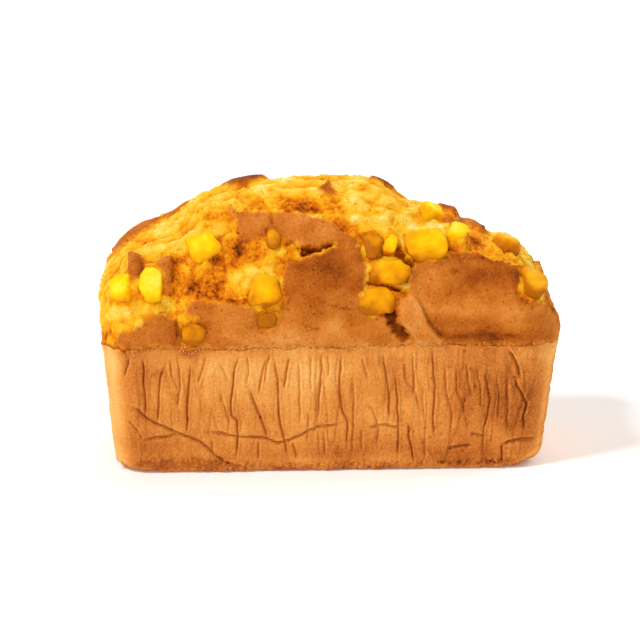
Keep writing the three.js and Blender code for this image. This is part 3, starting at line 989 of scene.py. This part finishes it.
def sides_piece():
    """The four sides and the base: flat where the paper lay, creased, pitted, and rough along the foot."""
    p, q = edge_of_map(SIDE_STEPS)
    heights = [between((low, high), row / count) for low, high, count in SIDE_ROWS for row in range(count)]
    grid = np.stack([side(p, q, height / RIM_HEIGHT) for height in (*heights, RIM_HEIGHT)])
    padded = np.concatenate([grid[:, -1:], grid, grid[:, :1]], 1)
    normals = -grid_normals(padded)[:, 1:-1].reshape(-1, 3)
    smooth_points = grid.reshape(-1, 3)
    height = smooth_points[:, 2]
    around = np.cumsum(np.linalg.norm(np.diff(grid[-1], axis=0, append=grid[-1][:1]), axis=1))
    stray = np.stack([uneven("side_stray_" + axis, smooth_points) for axis in "xy"], -1)
    faces_camera = smooth((normals @ BACK - FRONT_FACES_FROM) / FRONT_FACE_FADE)
    front = Chart(pixels(smooth_points), FRONT_STRAY * stray, MM_PER_PIXEL, faces_camera)
    flat = between((CORNER_CREASED, 1.0), smooth((np.abs(normals[:, :2]).max(1) - 0.8) / 0.15))
    round_and_up = np.stack([np.tile(around, len(grid)), height], -1)
    unrolled = Chart(round_and_up, ROUND_STRAY * stray, 1.0, (1 - 0.75 * faces_camera) * flat)
    creased, crease_shade_and_highlight = creased_relief(smooth_points, front, unrolled, flat, around[-1])

    clots = lumps("foot_clots", smooth_points)
    rough = uneven("foot_rough", smooth_points) + CLOT_HEIGHT * (clots - CLOT_MEAN)
    rough = rough * smooth(1.7 - height / 3.5)
    rough = rough * (0.4 + 0.6 * smooth(uneven("foot_patches", smooth_points) + 0.5))
    seam = smooth(1 - (RIM_HEIGHT - height) / 4.0)
    relief = creased * (1 - 0.7 * seam) + rough + seam * uneven("seam_flakes", smooth_points)
    relief = relief * smooth((RIM_HEIGHT - height) / 1.5) * smooth(height / 0.8)
    points = wobble_rim(smooth_points + normals * relief[:, None], smooth_points)
    points[:, 2] = np.maximum(points[:, 2], 0.0)
    masks = {"crease_shade_and_highlight": crease_shade_and_highlight, "seam": seam, **side_masks(smooth_points, normals, front, clots)}
    return close_sides(points, masks, len(p))


def close_sides(points, masks, columns):
    """Joins the rows of the sides, the base under them and a lid inside the loaf."""
    base_shares = np.linspace(1, 0, BASE_RINGS + 1)[1:-1]
    base_rows = [points[:columns] * share * FLAT for share in base_shares]
    middles = np.array([[0.0, 0.0, 0.0], [0.0, 0.0, SIDES_LID]])
    closed = np.concatenate([points, *base_rows, middles])
    added = len(closed) - len(points)
    masks = {name: np.append(values, np.full(added, CLOSING_MASKS[name])) for name, values in masks.items()}
    index = np.arange(len(closed) - len(middles)).reshape(-1, columns)
    side_count = len(points) // columns
    rows = np.concatenate([index[side_count:][::-1], index[:side_count]])
    after = np.roll(rows, -1, axis=1)
    faces = quads(rows[:-1], after[:-1], after[1:], rows[1:])
    faces += fan(after[0], rows[0], len(closed) - 2) + fan(rows[-1], after[-1], len(closed) - 1)
    return make_piece("paper_creased_sides", closed, faces, masks)


# Node graphs

class Graph:
    """A node tree with short ways to place its nodes."""

    def __init__(self, tree):
        self.tree = tree

    def node(self, kind, inputs=None, **settings):
        """A node with its settings, and each input set to a value or joined to another node's output."""
        node = self.tree.nodes.new(kind)
        for name, value in settings.items():
            setattr(node, name, value)
        self.fill(node, inputs or {})
        return node

    def fill(self, node, inputs):
        for name, value in inputs.items():
            if isinstance(value, bpy.types.NodeSocket):
                self.tree.links.new(value, node.inputs[name])
            else:
                node.inputs[name].default_value = value

    def math(self, operation, first, second):
        return self.node("ShaderNodeMath", {0: first, 1: second}, operation=operation).outputs[0]

    def total(self, start, *terms):
        """A sum that begins with a value, and takes in each term times its weight."""
        for value, weight in terms:
            start = self.math("ADD", start, self.math("MULTIPLY", value, weight))
        return start

    def scaled(self, vector, factor):
        return self.node("ShaderNodeVectorMath", {0: vector, "Scale": factor}, operation="SCALE").outputs[0]

    def vectors(self, operation, *inputs):
        node = self.node("ShaderNodeVectorMath", dict(enumerate(inputs)), operation=operation)
        return node.outputs["Value" if operation == "DOT_PRODUCT" else "Vector"]

    def remap(self, value, low, high, to_low=0.0, to_high=1.0):
        node = self.node("ShaderNodeMapRange", {"Value": value, "From Min": low, "From Max": high,
                                                "To Min": to_low, "To Max": to_high})
        return node.outputs[0]

    def ramp(self, value, stops):
        """A colour for each value, from stops of place and colour."""
        node = self.node("ShaderNodeValToRGB", {0: value})
        elements = node.color_ramp.elements
        while len(elements) < len(stops):
            elements.new(0.5)
        for element, (place, colour) in zip(elements, stops):
            element.position = place
            element.color = (*(linear(value) for value in colour), 1.0)
        return node.outputs[0]

    def per(self, size):
        """The scale of a pattern whose features have that size."""
        return self.math("DIVIDE", 1.0, size)

    def holes(self, cells, separate, share, widest, deepest):
        """A mask of holes in a share of a pattern's cells, from their edge to where they are deepest."""
        chosen = self.node(separate, {0: cells.outputs["Color"]}).outputs[0]
        depth = self.remap(cells.outputs["Distance"], widest, deepest)
        return self.math("MULTIPLY", depth, self.math("LESS_THAN", chosen, share))

    # In materials

    def mask(self, name):
        return self.node("ShaderNodeAttribute", attribute_name=name).outputs["Fac"]

    def finish(self, tree, inputs):
        """The outputs of a finish that materials share, with this material's own values."""
        node = self.node("ShaderNodeGroup", node_tree=tree)
        self.fill(node, inputs)
        return node.outputs

    def bump(self, height, strength, distance):
        inputs = {"Height": height, "Strength": strength, "Distance": distance}
        return self.node("ShaderNodeBump", inputs).outputs[0]

    # In geometry trees

    def attribute(self, name, kind="FLOAT"):
        return self.node("GeometryNodeInputNamedAttribute", {"Name": name}, data_type=kind).outputs[0]

    def random_vector(self, low, high, inputs):
        inputs = {0: low, 1: high, **inputs}
        return self.node("FunctionNodeRandomValue", inputs, data_type="FLOAT_VECTOR").outputs[0]

    def moved(self, shape, offset):
        return self.node("GeometryNodeSetPosition", {"Geometry": shape, "Offset": offset}).outputs[0]

    def plain(self, shape, material):
        """One plain mesh, shaded smoothly, in its material."""
        shape = self.node("GeometryNodeRealizeInstances", {0: shape}).outputs[0]
        shape = self.node("GeometryNodeSetShadeSmooth", {"Geometry": shape}).outputs[0]
        return self.node("GeometryNodeSetMaterial", {"Geometry": shape, "Material": material}).outputs[0]


FLOAT, COLOUR, WHOLE = "NodeSocketFloat", "NodeSocketColor", "NodeSocketInt"
SHAPE, MATERIAL = "NodeSocketGeometry", "NodeSocketMaterial"


def linear(value):
    """A colour value from 0 to 255, as the photograph shows it, made linear for the shader."""
    share = value / 255
    return share / 12.92 if share <= 0.04045 else ((share + 0.055) / 1.055) ** 2.4


def new_group(name, kind, inputs, outputs):
    """A node group with named sockets: name, kind and default going in, name and kind coming out."""
    tree = bpy.data.node_groups.new(name, kind)
    for socket, socket_kind, default in inputs:
        made = tree.interface.new_socket(socket, in_out="INPUT", socket_type=socket_kind)
        if default is not None:
            made.default_value = default
    for socket, socket_kind in outputs:
        tree.interface.new_socket(socket, in_out="OUTPUT", socket_type=socket_kind)
    graph = Graph(tree)
    return graph, graph.node("NodeGroupInput").outputs, graph.node("NodeGroupOutput")


def finish_piece(piece, tree, values):
    """Runs a geometry tree on a piece with its inputs set, and keeps the result as a plain mesh."""
    modifier = piece.modifiers.new(tree.name, "NODES")
    modifier.node_group = tree
    for item in tree.interface.items_tree:
        if item.in_out == "INPUT" and item.name in values:
            modifier[item.identifier] = values[item.name]
    graph = bpy.context.evaluated_depsgraph_get()
    made = bpy.data.meshes.new_from_object(piece.evaluated_get(graph))
    piece.modifiers.remove(modifier)
    old = piece.data
    piece.data = made
    bpy.data.meshes.remove(old)
    made.name = piece.name
    return piece


def grain_tree():
    """Fine relief over a baked surface: grain everywhere, and small open pores."""
    graph, given, put = new_group(
        "baked_grain",
        "GeometryNodeTree",
        (("Surface", SHAPE, None), ("Grain Size", FLOAT, 0.0016), ("Grain Height", FLOAT, 0.0001),
         ("Pore Size", FLOAT, 0.002), ("Pore Depth", FLOAT, 0.0004), ("Pore Share", FLOAT, 0.15),
         ("Seed", FLOAT, 0.0), ("Bake", MATERIAL, None)),
        (("Surface", SHAPE),),
    )
    place = graph.node("GeometryNodeInputPosition").outputs[0]
    grain = graph.node("ShaderNodeTexNoise", {"Vector": place, "W": given["Seed"], "Detail": 2.0,
                                              "Scale": graph.per(given["Grain Size"])}, noise_dimensions="4D")
    cells = graph.node("ShaderNodeTexVoronoi", {"Vector": place, "W": given["Seed"],
                                                "Scale": graph.per(given["Pore Size"])},
                       voronoi_dimensions="4D")
    pores = graph.holes(cells, "FunctionNodeSeparateColor", given["Pore Share"], 0.45, 0.1)
    lift = graph.math("MULTIPLY", graph.math("SUBTRACT", grain.outputs[0], 0.5), given["Grain Height"])
    lift = graph.math("SUBTRACT", lift, graph.math("MULTIPLY", pores, given["Pore Depth"]))
    normal = graph.node("GeometryNodeInputNormal").outputs[0]
    kept = graph.node("GeometryNodeStoreNamedAttribute",
                      {"Geometry": given["Surface"], "Name": "pore", "Value": pores},
                      data_type="FLOAT", domain="POINT")
    shape = graph.moved(kept.outputs[0], graph.scaled(normal, lift))
    graph.fill(put, {"Surface": graph.plain(shape, given["Bake"])})
    return graph.tree


FACE_SPREAD, FACE_CUT = 0.16, 0.65  # how far a die's face turns aside, and how flat it is cut
SIDE_CUTS, SIDE_CUT = 3, 0.9
DENT_LEVEL = 0.4


def flesh_tree():
    """Dice of soft fruit: rounded off, cut flat on a few random sides, and dented."""
    graph, given, put = new_group(
        "soft_dice",
        "GeometryNodeTree",
        (("Dice", SHAPE, None), ("Rounding", WHOLE, 2), ("Cut Share", FLOAT, 0.8),
         ("Warp Size", FLOAT, 0.009), ("Warp Depth", FLOAT, 0.005),
         ("Dent Size", FLOAT, 0.005), ("Dent Depth", FLOAT, 0.0008),
         ("Seed", WHOLE, 0), ("Flesh", MATERIAL, None)),
        (("Dice", SHAPE),),
    )
    place = graph.node("GeometryNodeInputPosition").outputs[0]
    die = graph.attribute("die", "INT")
    middle, outward = (graph.attribute(name, "FLOAT_VECTOR") for name in ("middle", "outward"))
    reach, standing = (graph.attribute(name) for name in ("reach", "standing"))

    def random_way(number, spread):
        seed = graph.math("ADD", given["Seed"], float(number))
        return graph.random_vector((-spread,) * 3, (spread,) * 3, {"ID": die, "Seed": seed})

    def cut(shape, way, left, share):
        """Draws in what lies further from the middle than what is left that way."""
        way = graph.vectors("NORMALIZE", way)
        out = graph.vectors("DOT_PRODUCT", graph.vectors("SUBTRACT", place, middle), way)
        past = graph.math("MAXIMUM", graph.math("SUBTRACT", out, left), 0.0)
        return graph.moved(shape, graph.scaled(way, graph.math("MULTIPLY", past, -share)))

    shape = graph.node("GeometryNodeSubdivisionSurface",
                       {"Mesh": given["Dice"], "Level": given["Rounding"]}).outputs[0]
    warp = graph.node("ShaderNodeTexNoise",
                      {"Vector": place, "Detail": 1.0, "Scale": graph.per(given["Warp Size"])})
    warp = graph.vectors("SUBTRACT", warp.outputs["Color"], (0.5, 0.5, 0.5))
    shape = graph.moved(shape, graph.scaled(warp, given["Warp Depth"]))
    shape = cut(shape, graph.vectors("ADD", random_way(0, FACE_SPREAD), outward), standing, FACE_CUT)
    left = graph.math("MULTIPLY", reach, given["Cut Share"])
    for number in range(SIDE_CUTS):
        shape = cut(shape, random_way(number + 1, 1.0), left, SIDE_CUT)
    dents = graph.node("ShaderNodeTexNoise",
                       {"Vector": place, "Detail": 2.0, "Scale": graph.per(given["Dent Size"])})
    lift = graph.math("MULTIPLY", graph.math("SUBTRACT", dents.outputs[0], DENT_LEVEL), given["Dent Depth"])
    shape = graph.moved(shape, graph.scaled(graph.node("GeometryNodeInputNormal").outputs[0], lift))
    graph.fill(put, {"Dice": graph.plain(shape, given["Flesh"])})
    return graph.tree


SMALLEST_CRUMB, LARGEST_CRUMB = (0.35, 0.35, 0.3), (1.3, 1.1, 0.9)
FULL_TURN = 6.3
OUTSIDE_LIMIT = 0.1  # faces with more of the inside mask than this close a piece and bear no crumbs


def crumb_tree():
    """Loose crumbs lying on the outside of a surface, where its crumbly mask says."""
    graph, given, put = new_group(
        "loose_crumbs",
        "GeometryNodeTree",
        (("Surface", SHAPE, None), ("Density", FLOAT, 20000.0), ("Crumb Size", FLOAT, 0.0005),
         ("Seed", WHOLE, 5), ("Bake", MATERIAL, None)),
        (("Crumbs", SHAPE),),
    )
    seed = {"Seed": given["Seed"]}
    inside = graph.node("GeometryNodeFieldOnDomain", {"Value": graph.attribute("inside")},
                        data_type="FLOAT", domain="FACE").outputs[0]
    density = graph.math("MULTIPLY", graph.attribute("crumbly"), given["Density"])
    density = graph.math("MULTIPLY", density, graph.math("LESS_THAN", inside, OUTSIDE_LIMIT))
    spread = graph.node("GeometryNodeDistributePointsOnFaces",
                        {"Mesh": given["Surface"], "Density": density, **seed})
    lump = graph.node("GeometryNodeMeshIcoSphere", {"Radius": given["Crumb Size"], "Subdivisions": 1})
    laid = graph.node("GeometryNodeInstanceOnPoints", {
        "Points": spread.outputs[0],
        "Instance": lump.outputs[0],
        "Rotation": graph.random_vector((0, 0, 0), (FULL_TURN,) * 3, seed),
        "Scale": graph.random_vector(SMALLEST_CRUMB, LARGEST_CRUMB, seed),
    })
    graph.fill(put, {"Crumbs": graph.plain(laid.outputs[0], given["Bake"])})
    return graph.tree


# Finishes that several materials share

NOISE_RANGE = (0.3, 0.7)  # between these lies most of a noise texture's height
BAKED_SHEEN = 0.06
CRUMB_STOPS = ((0.0, (255, 226, 140)), (0.2, (252, 206, 80)), (0.42, (246, 182, 28)), (0.6, (236, 144, 16)),
               (0.78, (204, 102, 10)), (1.0, (110, 44, 6)))
CRUST_STOPS = ((0.1, (232, 160, 84)), (0.36, (212, 127, 44)), (0.62, (180, 92, 20)), (0.8, (140, 64, 13)),
               (1.0, (92, 38, 8)))
SIDE_STOPS = ((0.0, (250, 190, 108)), (0.3, (230, 152, 70)), (0.55, (206, 122, 50)), (0.75, (176, 94, 34)),
              (1.0, (104, 46, 12)))
FRUIT_STOPS = ((0.0, (254, 231, 88)), (0.25, (252, 211, 8)), (0.5, (246, 178, 0)), (0.75, (228, 146, 0)),
               (1.0, (180, 100, 0)))


def mottle_group():
    """Uneven baking: broad patches with finer freckles in them."""
    graph, given, put = new_group(
        "baking_mottle",
        "ShaderNodeTree",
        (("Patch Scale", FLOAT, 60.0), ("Freckle Scale", FLOAT, 500.0), ("Freckles", FLOAT, 0.4)),
        (("Tone", FLOAT), ("Grit", FLOAT)),
    )
    place = graph.node("ShaderNodeTexCoord").outputs["Object"]
    patch = graph.node("ShaderNodeTexNoise", {"Vector": place, "Scale": given["Patch Scale"], "Detail": 3.0})
    freckle = graph.node("ShaderNodeTexNoise",
                         {"Vector": place, "Scale": given["Freckle Scale"], "Detail": 3.0, "Roughness": 0.65})
    broad, fine = (graph.remap(noise.outputs[0], *NOISE_RANGE, -1.0, 1.0) for noise in (patch, freckle))
    graph.fill(put, {"Tone": graph.total(broad, (fine, given["Freckles"])), "Grit": freckle.outputs[0]})
    return graph.tree


def pin_pores_group():
    """Pinholes of baked batter: a mask of the holes, a grain with the holes sunk into it, and a speckle."""
    graph, given, put = new_group(
        "pin_pores",
        "ShaderNodeTree",
        (("Hole Scale", FLOAT, 600.0), ("Hole Share", FLOAT, 0.2), ("Grit", FLOAT, 0.5),
         ("Hole Depth", FLOAT, 0.6)),
        (("Holes", FLOAT), ("Height", FLOAT), ("Speckle", FLOAT)),
    )
    place = graph.node("ShaderNodeTexCoord").outputs["Object"]
    cells = graph.node("ShaderNodeTexVoronoi", {"Vector": place, "Scale": given["Hole Scale"]})
    holes = graph.holes(cells, "ShaderNodeSeparateColor", given["Hole Share"], 0.42, 0.2)
    graph.fill(put, {
        "Holes": holes,
        "Height": graph.math("SUBTRACT", given["Grit"], graph.math("MULTIPLY", holes, given["Hole Depth"])),
        "Speckle": graph.remap(given["Grit"], 0.35, 0.65, 0.3, -0.3),
    })
    return graph.tree


def bake_group():
    """The colour of baked cake: torn crumb or the crust that covers it, each from pale to dark."""
    graph, given, put = new_group(
        "crumb_and_crust",
        "ShaderNodeTree",
        (("Crumb", FLOAT, 0.5), ("Crust", FLOAT, 0.5), ("Cover", FLOAT, 0.0)),
        (("Colour", COLOUR),),
    )
    crumb, crust = graph.ramp(given["Crumb"], CRUMB_STOPS), graph.ramp(given["Crust"], CRUST_STOPS)
    mixed = graph.node("ShaderNodeMix", data_type="RGBA")
    graph.fill(mixed, {0: given["Cover"], 6: crumb, 7: crust})
    graph.fill(put, {"Colour": mixed.outputs[2]})
    return graph.tree


def new_material(name):
    material = bpy.data.materials.new(name)
    material.use_nodes = True
    return material, Graph(material.node_tree), material.node_tree.nodes["Principled BSDF"]


def crown_material(mottle, pin_pores, baked):
    """Browned crust over golden torn crumb, with painted shade in the gaps, round the fruit and in the pores,
    and painted light and shade on the crumb's lumps.
    """
    material, graph, shader = new_material("burst_crown")
    bake = graph.finish(mottle, {"Patch Scale": 110.0, "Freckle Scale": 1100.0, "Freckles": 0.75})
    pores = graph.finish(pin_pores, {"Hole Scale": 750.0, "Hole Share": 0.16, "Hole Depth": 0.5,
                                     "Grit": bake["Grit"]})
    # Painted shade: the gaps and the split seam, the crumb round the fruit and the pores are painted darker
    shade = graph.total(0.0, (graph.mask("hollow"), 0.42), (graph.mask("nook_shade"), 0.13),
                        (graph.mask("pore"), 0.1), (pores["Holes"], 0.15))
    # the crumb is painted paler where it rises and darker in its creases: painted light and shade
    crumb = graph.total(0.44, (graph.mask("browned"), 1.0), (bake["Tone"], 0.13), (graph.mask("rise"), -0.31),
                        (shade, 1.0))
    crust = graph.total(0.05, (graph.mask("tone"), 1.0), (bake["Tone"], 0.13), (shade, 1.0),
                        (pores["Speckle"], graph.mask("seam")))
    painted = graph.finish(baked, {"Crumb": crumb, "Crust": crust, "Cover": graph.mask("cover")})
    graph.fill(shader, {
        "Base Color": painted["Colour"],
        "Roughness": graph.remap(bake["Grit"], *NOISE_RANGE, 0.62, 0.85),
        "Normal": graph.bump(pores["Height"], 0.75, 0.0009),
        "Specular IOR Level": BAKED_SHEEN,
        "Subsurface Weight": 0.55,
        "Subsurface Radius": (1.0, 0.4, 0.1),
        "Subsurface Scale": 0.0025,
    })
    return material


def sides_material(mottle, pin_pores):
    """Smooth golden side, with painted shade in the creases and pores, a painted highlight beside the
    creases, and darker along the foot.
    """
    material, graph, shader = new_material("paper_creased_side")
    bake = graph.finish(mottle, {"Patch Scale": 60.0, "Freckle Scale": 1300.0, "Freckles": 1.0})
    pores = graph.finish(pin_pores, {"Hole Scale": 500.0, "Hole Share": 0.03, "Hole Depth": 0.6,
                                     "Grit": bake["Grit"]})
    # Painted shade in the creases, wrinkles and pores, and a painted highlight on the creases' lips
    tone = graph.total(0.34, (graph.mask("browned"), 1.0), (bake["Tone"], 0.14),
                       (graph.mask("crease_shade_and_highlight"), 0.34), (graph.mask("foot"), 0.36), (graph.mask("seam"), 0.05),
                       (pores["Speckle"], graph.mask("seam")), (graph.mask("pore"), 0.1),
                       (pores["Holes"], 0.15))
    graph.fill(shader, {
        "Base Color": graph.ramp(tone, SIDE_STOPS),
        "Roughness": graph.remap(bake["Grit"], *NOISE_RANGE, 0.55, 0.75),
        "Normal": graph.bump(pores["Height"], 0.6, 0.0007),
        "Specular IOR Level": BAKED_SHEEN,
    })
    return material


def fruit_material(mottle):
    """Moist yellow flesh that lets light a little way in."""
    material, graph, shader = new_material("fruit_flesh")
    bake = graph.finish(mottle, {"Patch Scale": 190.0, "Freckle Scale": 800.0, "Freckles": 0.25})
    graph.fill(shader, {
        # the depth of colour takes in painted shade where a die is buried and on its underside
        "Base Color": graph.ramp(graph.total(graph.mask("ripe_and_shade"), (bake["Tone"], 0.16)), FRUIT_STOPS),
        "Roughness": graph.remap(bake["Grit"], *NOISE_RANGE, 0.42, 0.65),
        "Specular IOR Level": 0.08,
        "Subsurface Weight": 0.25,
        "Subsurface Radius": (1.0, 0.6, 0.15),
        "Subsurface Scale": 0.002,
    })
    return material


def crumbs_material(mottle, baked):
    """Dry crumbs, golden or browned like the place they came from."""
    material, graph, shader = new_material("loose_crumbs")
    bake = graph.finish(mottle, {"Patch Scale": 300.0, "Freckle Scale": 1500.0, "Freckles": 0.5})
    crumb = graph.total(0.42, (graph.mask("browned"), 1.0), (bake["Tone"], 0.1))
    crust = graph.total(0.12, (bake["Tone"], 0.12))
    painted = graph.finish(baked, {"Crumb": crumb, "Crust": crust, "Cover": graph.mask("cover")})
    graph.fill(shader, {
        "Base Color": painted["Colour"],
        "Roughness": graph.remap(bake["Grit"], *NOISE_RANGE, 0.7, 0.95),
        "Specular IOR Level": BAKED_SHEEN,
    })
    return material


# The fruit. In the order of the dice: how deep each looks, from 0 pale yellow to 1 deep amber, partly its
# ripeness and partly painted shade on sunken dice; and how far its face stands over the smooth crown, in
# millimetres

RIPENESS_AND_SHADE = (0.44, 0.42, 0.28, 0.64, 1.25, 0.92, 1.02, 0.5, 0.55, 0.4, 0.32, 0.76, 0.78, 0.7, 0.76, 1.0,
            0.4, 0.36, 0.5, 0.35, 0.6, 0.45, 0.38, 0.55)
STANDING = (0.9, 0.9, 1.0, 1.1, 0.1, 0.2, -0.4, 0.5, 1.3, 1.1, 2.6, 1.1, 0.7, 3.2, 1.4, 0.0,
            0.8, 1.0, 0.7, 0.9, 0.5, 0.8, 0.6, 0.7)
PROUD = 2.0  # dice that stand over the crown by more than this have no crumb round them
# Added to each die's depth of colour: a shift for all of it, painted shade where it is buried, and painted
# shade on its underside
FACE_RIPENESS, BURIED_PAINTED_SHADE, UNDERSIDE_PAINTED_SHADE = -0.1, 0.26, 0.36  # added there


def merged_solid(name):
    """The corners of a solid in millimetres, each once, and its faces."""
    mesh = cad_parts[name].data
    places = [tuple(round(c / MM, 3) for c in vertex.co) for vertex in mesh.vertices]
    known = {place: number for number, place in enumerate(dict.fromkeys(places))}
    return np.array(list(known)), [[known[places[i]] for i in polygon.vertices] for polygon in mesh.polygons]


def die_masks(number, corners, crown, ways_out):
    """What the tree and the material of the fruit have to know at each corner of a die."""
    middle = corners.mean(0)
    over = np.linalg.norm(crown - middle, axis=1).argmin()
    outward = ways_out[over]
    reach = (corners - middle) @ outward
    aside = np.linalg.norm(corners - middle - reach[:, None] * outward, axis=1)
    buried = smooth(0.6 - reach / np.ptp(reach)) + smooth(1.6 * aside / aside.max() - 0.7)
    lower = (middle[2] - corners[:, 2]) / np.ptp(corners[:, 2])
    standing = (crown[over] - middle) @ outward + STANDING[number]
    same = np.ones(len(corners))
    return {
        # painted shade deepens the colour where the die is buried and on its underside
        "ripe_and_shade": RIPENESS_AND_SHADE[number] + FACE_RIPENESS + BURIED_PAINTED_SHADE * buried + UNDERSIDE_PAINTED_SHADE * lower,
        "die": np.full(len(corners), number),
        "middle": np.outer(same, middle * MM),
        "outward": np.outer(same, outward),
        "reach": same * np.ptp(reach) / 2 * MM,
        "standing": same * standing * MM,
    }


def fruit_piece():
    """Every die of fruit, taken from its solid, merged and joined; deeper coloured where it is buried and on
    its underside, as painted shade.
    """
    crown, ways_out = smooth_crown()
    corners, faces, masks = [], [], []
    first = 0
    for number, name in enumerate(DICE):
        die_corners, die_faces = merged_solid(name)
        corners.append(die_corners)
        faces += [[first + corner for corner in face] for face in die_faces]
        masks.append(die_masks(number, die_corners, crown, ways_out))
        first += len(die_corners)
    joined = {name: np.concatenate([mask[name] for mask in masks]) for name in masks[0]}
    return make_piece("fruit_dice", np.concatenate(corners), faces, joined)


# The studio. Places and sizes are in metres, and powers in watts

LIGHTS = (
    ("key", (-1.6, -1.2, 2.35), 0.8, 71.0, (1.0, 0.985, 0.96)),
    ("front", (0.4, -2.6, 0.9), 1.6, 6.0, (1.0, 1.0, 1.0)),
    ("fill", (1.9, 0.6, 1.8), 1.6, 26.0, (1.0, 0.96, 0.88)),
    ("behind", (0.3, 2.6, 1.5), 1.6, 28.0, (1.0, 0.97, 0.92)),
)
LIT_PLACE = Vector((0, 0, 0.05))
FLOOR_SIDE = 6.0
WHITE = (1.0, 1.0, 1.0, 1.0)
PALE = (0.98, 0.98, 0.98, 1.0)
ROOM_LIGHT = 0.30


def set_camera():
    data = bpy.data.cameras.new("photo_camera")
    camera = bpy.data.objects.new("photo_camera", data)
    bpy.context.scene.collection.objects.link(camera)
    off_right = (AIM_PIXEL[0] - PICTURE_SIDE / 2) * MM_PER_PIXEL
    off_up = (PICTURE_SIDE / 2 - AIM_PIXEL[1]) * MM_PER_PIXEL
    look_at = AIM - RIGHT * off_right - UP * off_up
    data.sensor_width = 36.0
    data.lens = data.sensor_width * CAMERA_DISTANCE / (PICTURE_SIDE * MM_PER_PIXEL)
    data.clip_start, data.clip_end = 0.05, 20.0
    camera.location = (look_at + BACK * CAMERA_DISTANCE) * MM
    camera.rotation_euler = Vector(-BACK).to_track_quat("-Z", "Y").to_euler()
    bpy.context.scene.camera = camera


def add_light(name, place, size, power, tint):
    data = bpy.data.lights.new(name, "AREA")
    data.shape = "DISK"
    data.size = size
    data.energy = power
    data.color = tint
    lamp = bpy.data.objects.new(name, data)
    lamp.location = place
    lamp.rotation_euler = (LIT_PLACE - Vector(place)).to_track_quat("-Z", "Y").to_euler()
    bpy.context.scene.collection.objects.link(lamp)


def set_studio():
    """A pale floor, soft light from the upper left, and an even white room."""
    material, graph, shader = new_material("pale_floor")
    graph.fill(shader, {"Base Color": PALE, "Roughness": 0.9,
                        "Emission Color": WHITE, "Emission Strength": 0.12})
    half = FLOOR_SIDE / 2
    mesh = bpy.data.meshes.new("floor")
    corners = [(-half, -half, 0), (half, -half, 0), (half, half, 0), (-half, half, 0)]
    mesh.from_pydata(corners, [], [(0, 1, 2, 3)])
    mesh.materials.append(material)
    floor = bpy.data.objects.new("floor", mesh)
    bpy.context.scene.collection.objects.link(floor)
    for light in LIGHTS:
        add_light(*light)
    world = bpy.data.worlds.new("white_room")
    world.use_nodes = True
    Graph(world.node_tree).fill(world.node_tree.nodes["Background"], {"Color": WHITE, "Strength": ROOM_LIGHT})
    bpy.context.scene.world = world
    bpy.context.scene.view_settings.view_transform = "Standard"


set_camera()
set_studio()
mottle = mottle_group()
pin_pores = pin_pores_group()
baked = bake_group()
grain = grain_tree()

fruit = fruit_piece()
fruit = finish_piece(fruit, flesh_tree(), {"Cut Share": 1.05, "Dent Size": 0.004, "Dent Depth": 0.0018,
                                           "Seed": 3, "Flesh": fruit_material(mottle)})
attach(fruit, "root")
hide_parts(*DICE)

crown = crown_piece(fruit)
crown = finish_piece(crown, grain, {"Grain Size": 0.0014, "Grain Height": 0.0002, "Pore Size": 0.0024,
                                    "Pore Depth": 0.0006, "Pore Share": 0.1, "Seed": 1.0,
                                    "Bake": crown_material(mottle, pin_pores, baked)})
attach(crown, "root")
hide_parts("loaf")

sides = sides_piece()
sides = finish_piece(sides, grain, {"Grain Size": 0.002, "Grain Height": 0.00015, "Pore Size": 0.004,
                                    "Pore Depth": 0.0005, "Pore Share": 0.04, "Seed": 2.0,
                                    "Bake": sides_material(mottle, pin_pores)})
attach(sides, "root")
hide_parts("loaf")

crumbs = joined_copy("loose_crumbs", (crown, sides))
crumbs = finish_piece(crumbs, crumb_tree(), {"Density": 500000.0, "Crumb Size": 0.00045, "Seed": 5,
                                             "Bake": crumbs_material(mottle, baked)})
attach(crumbs, "root")
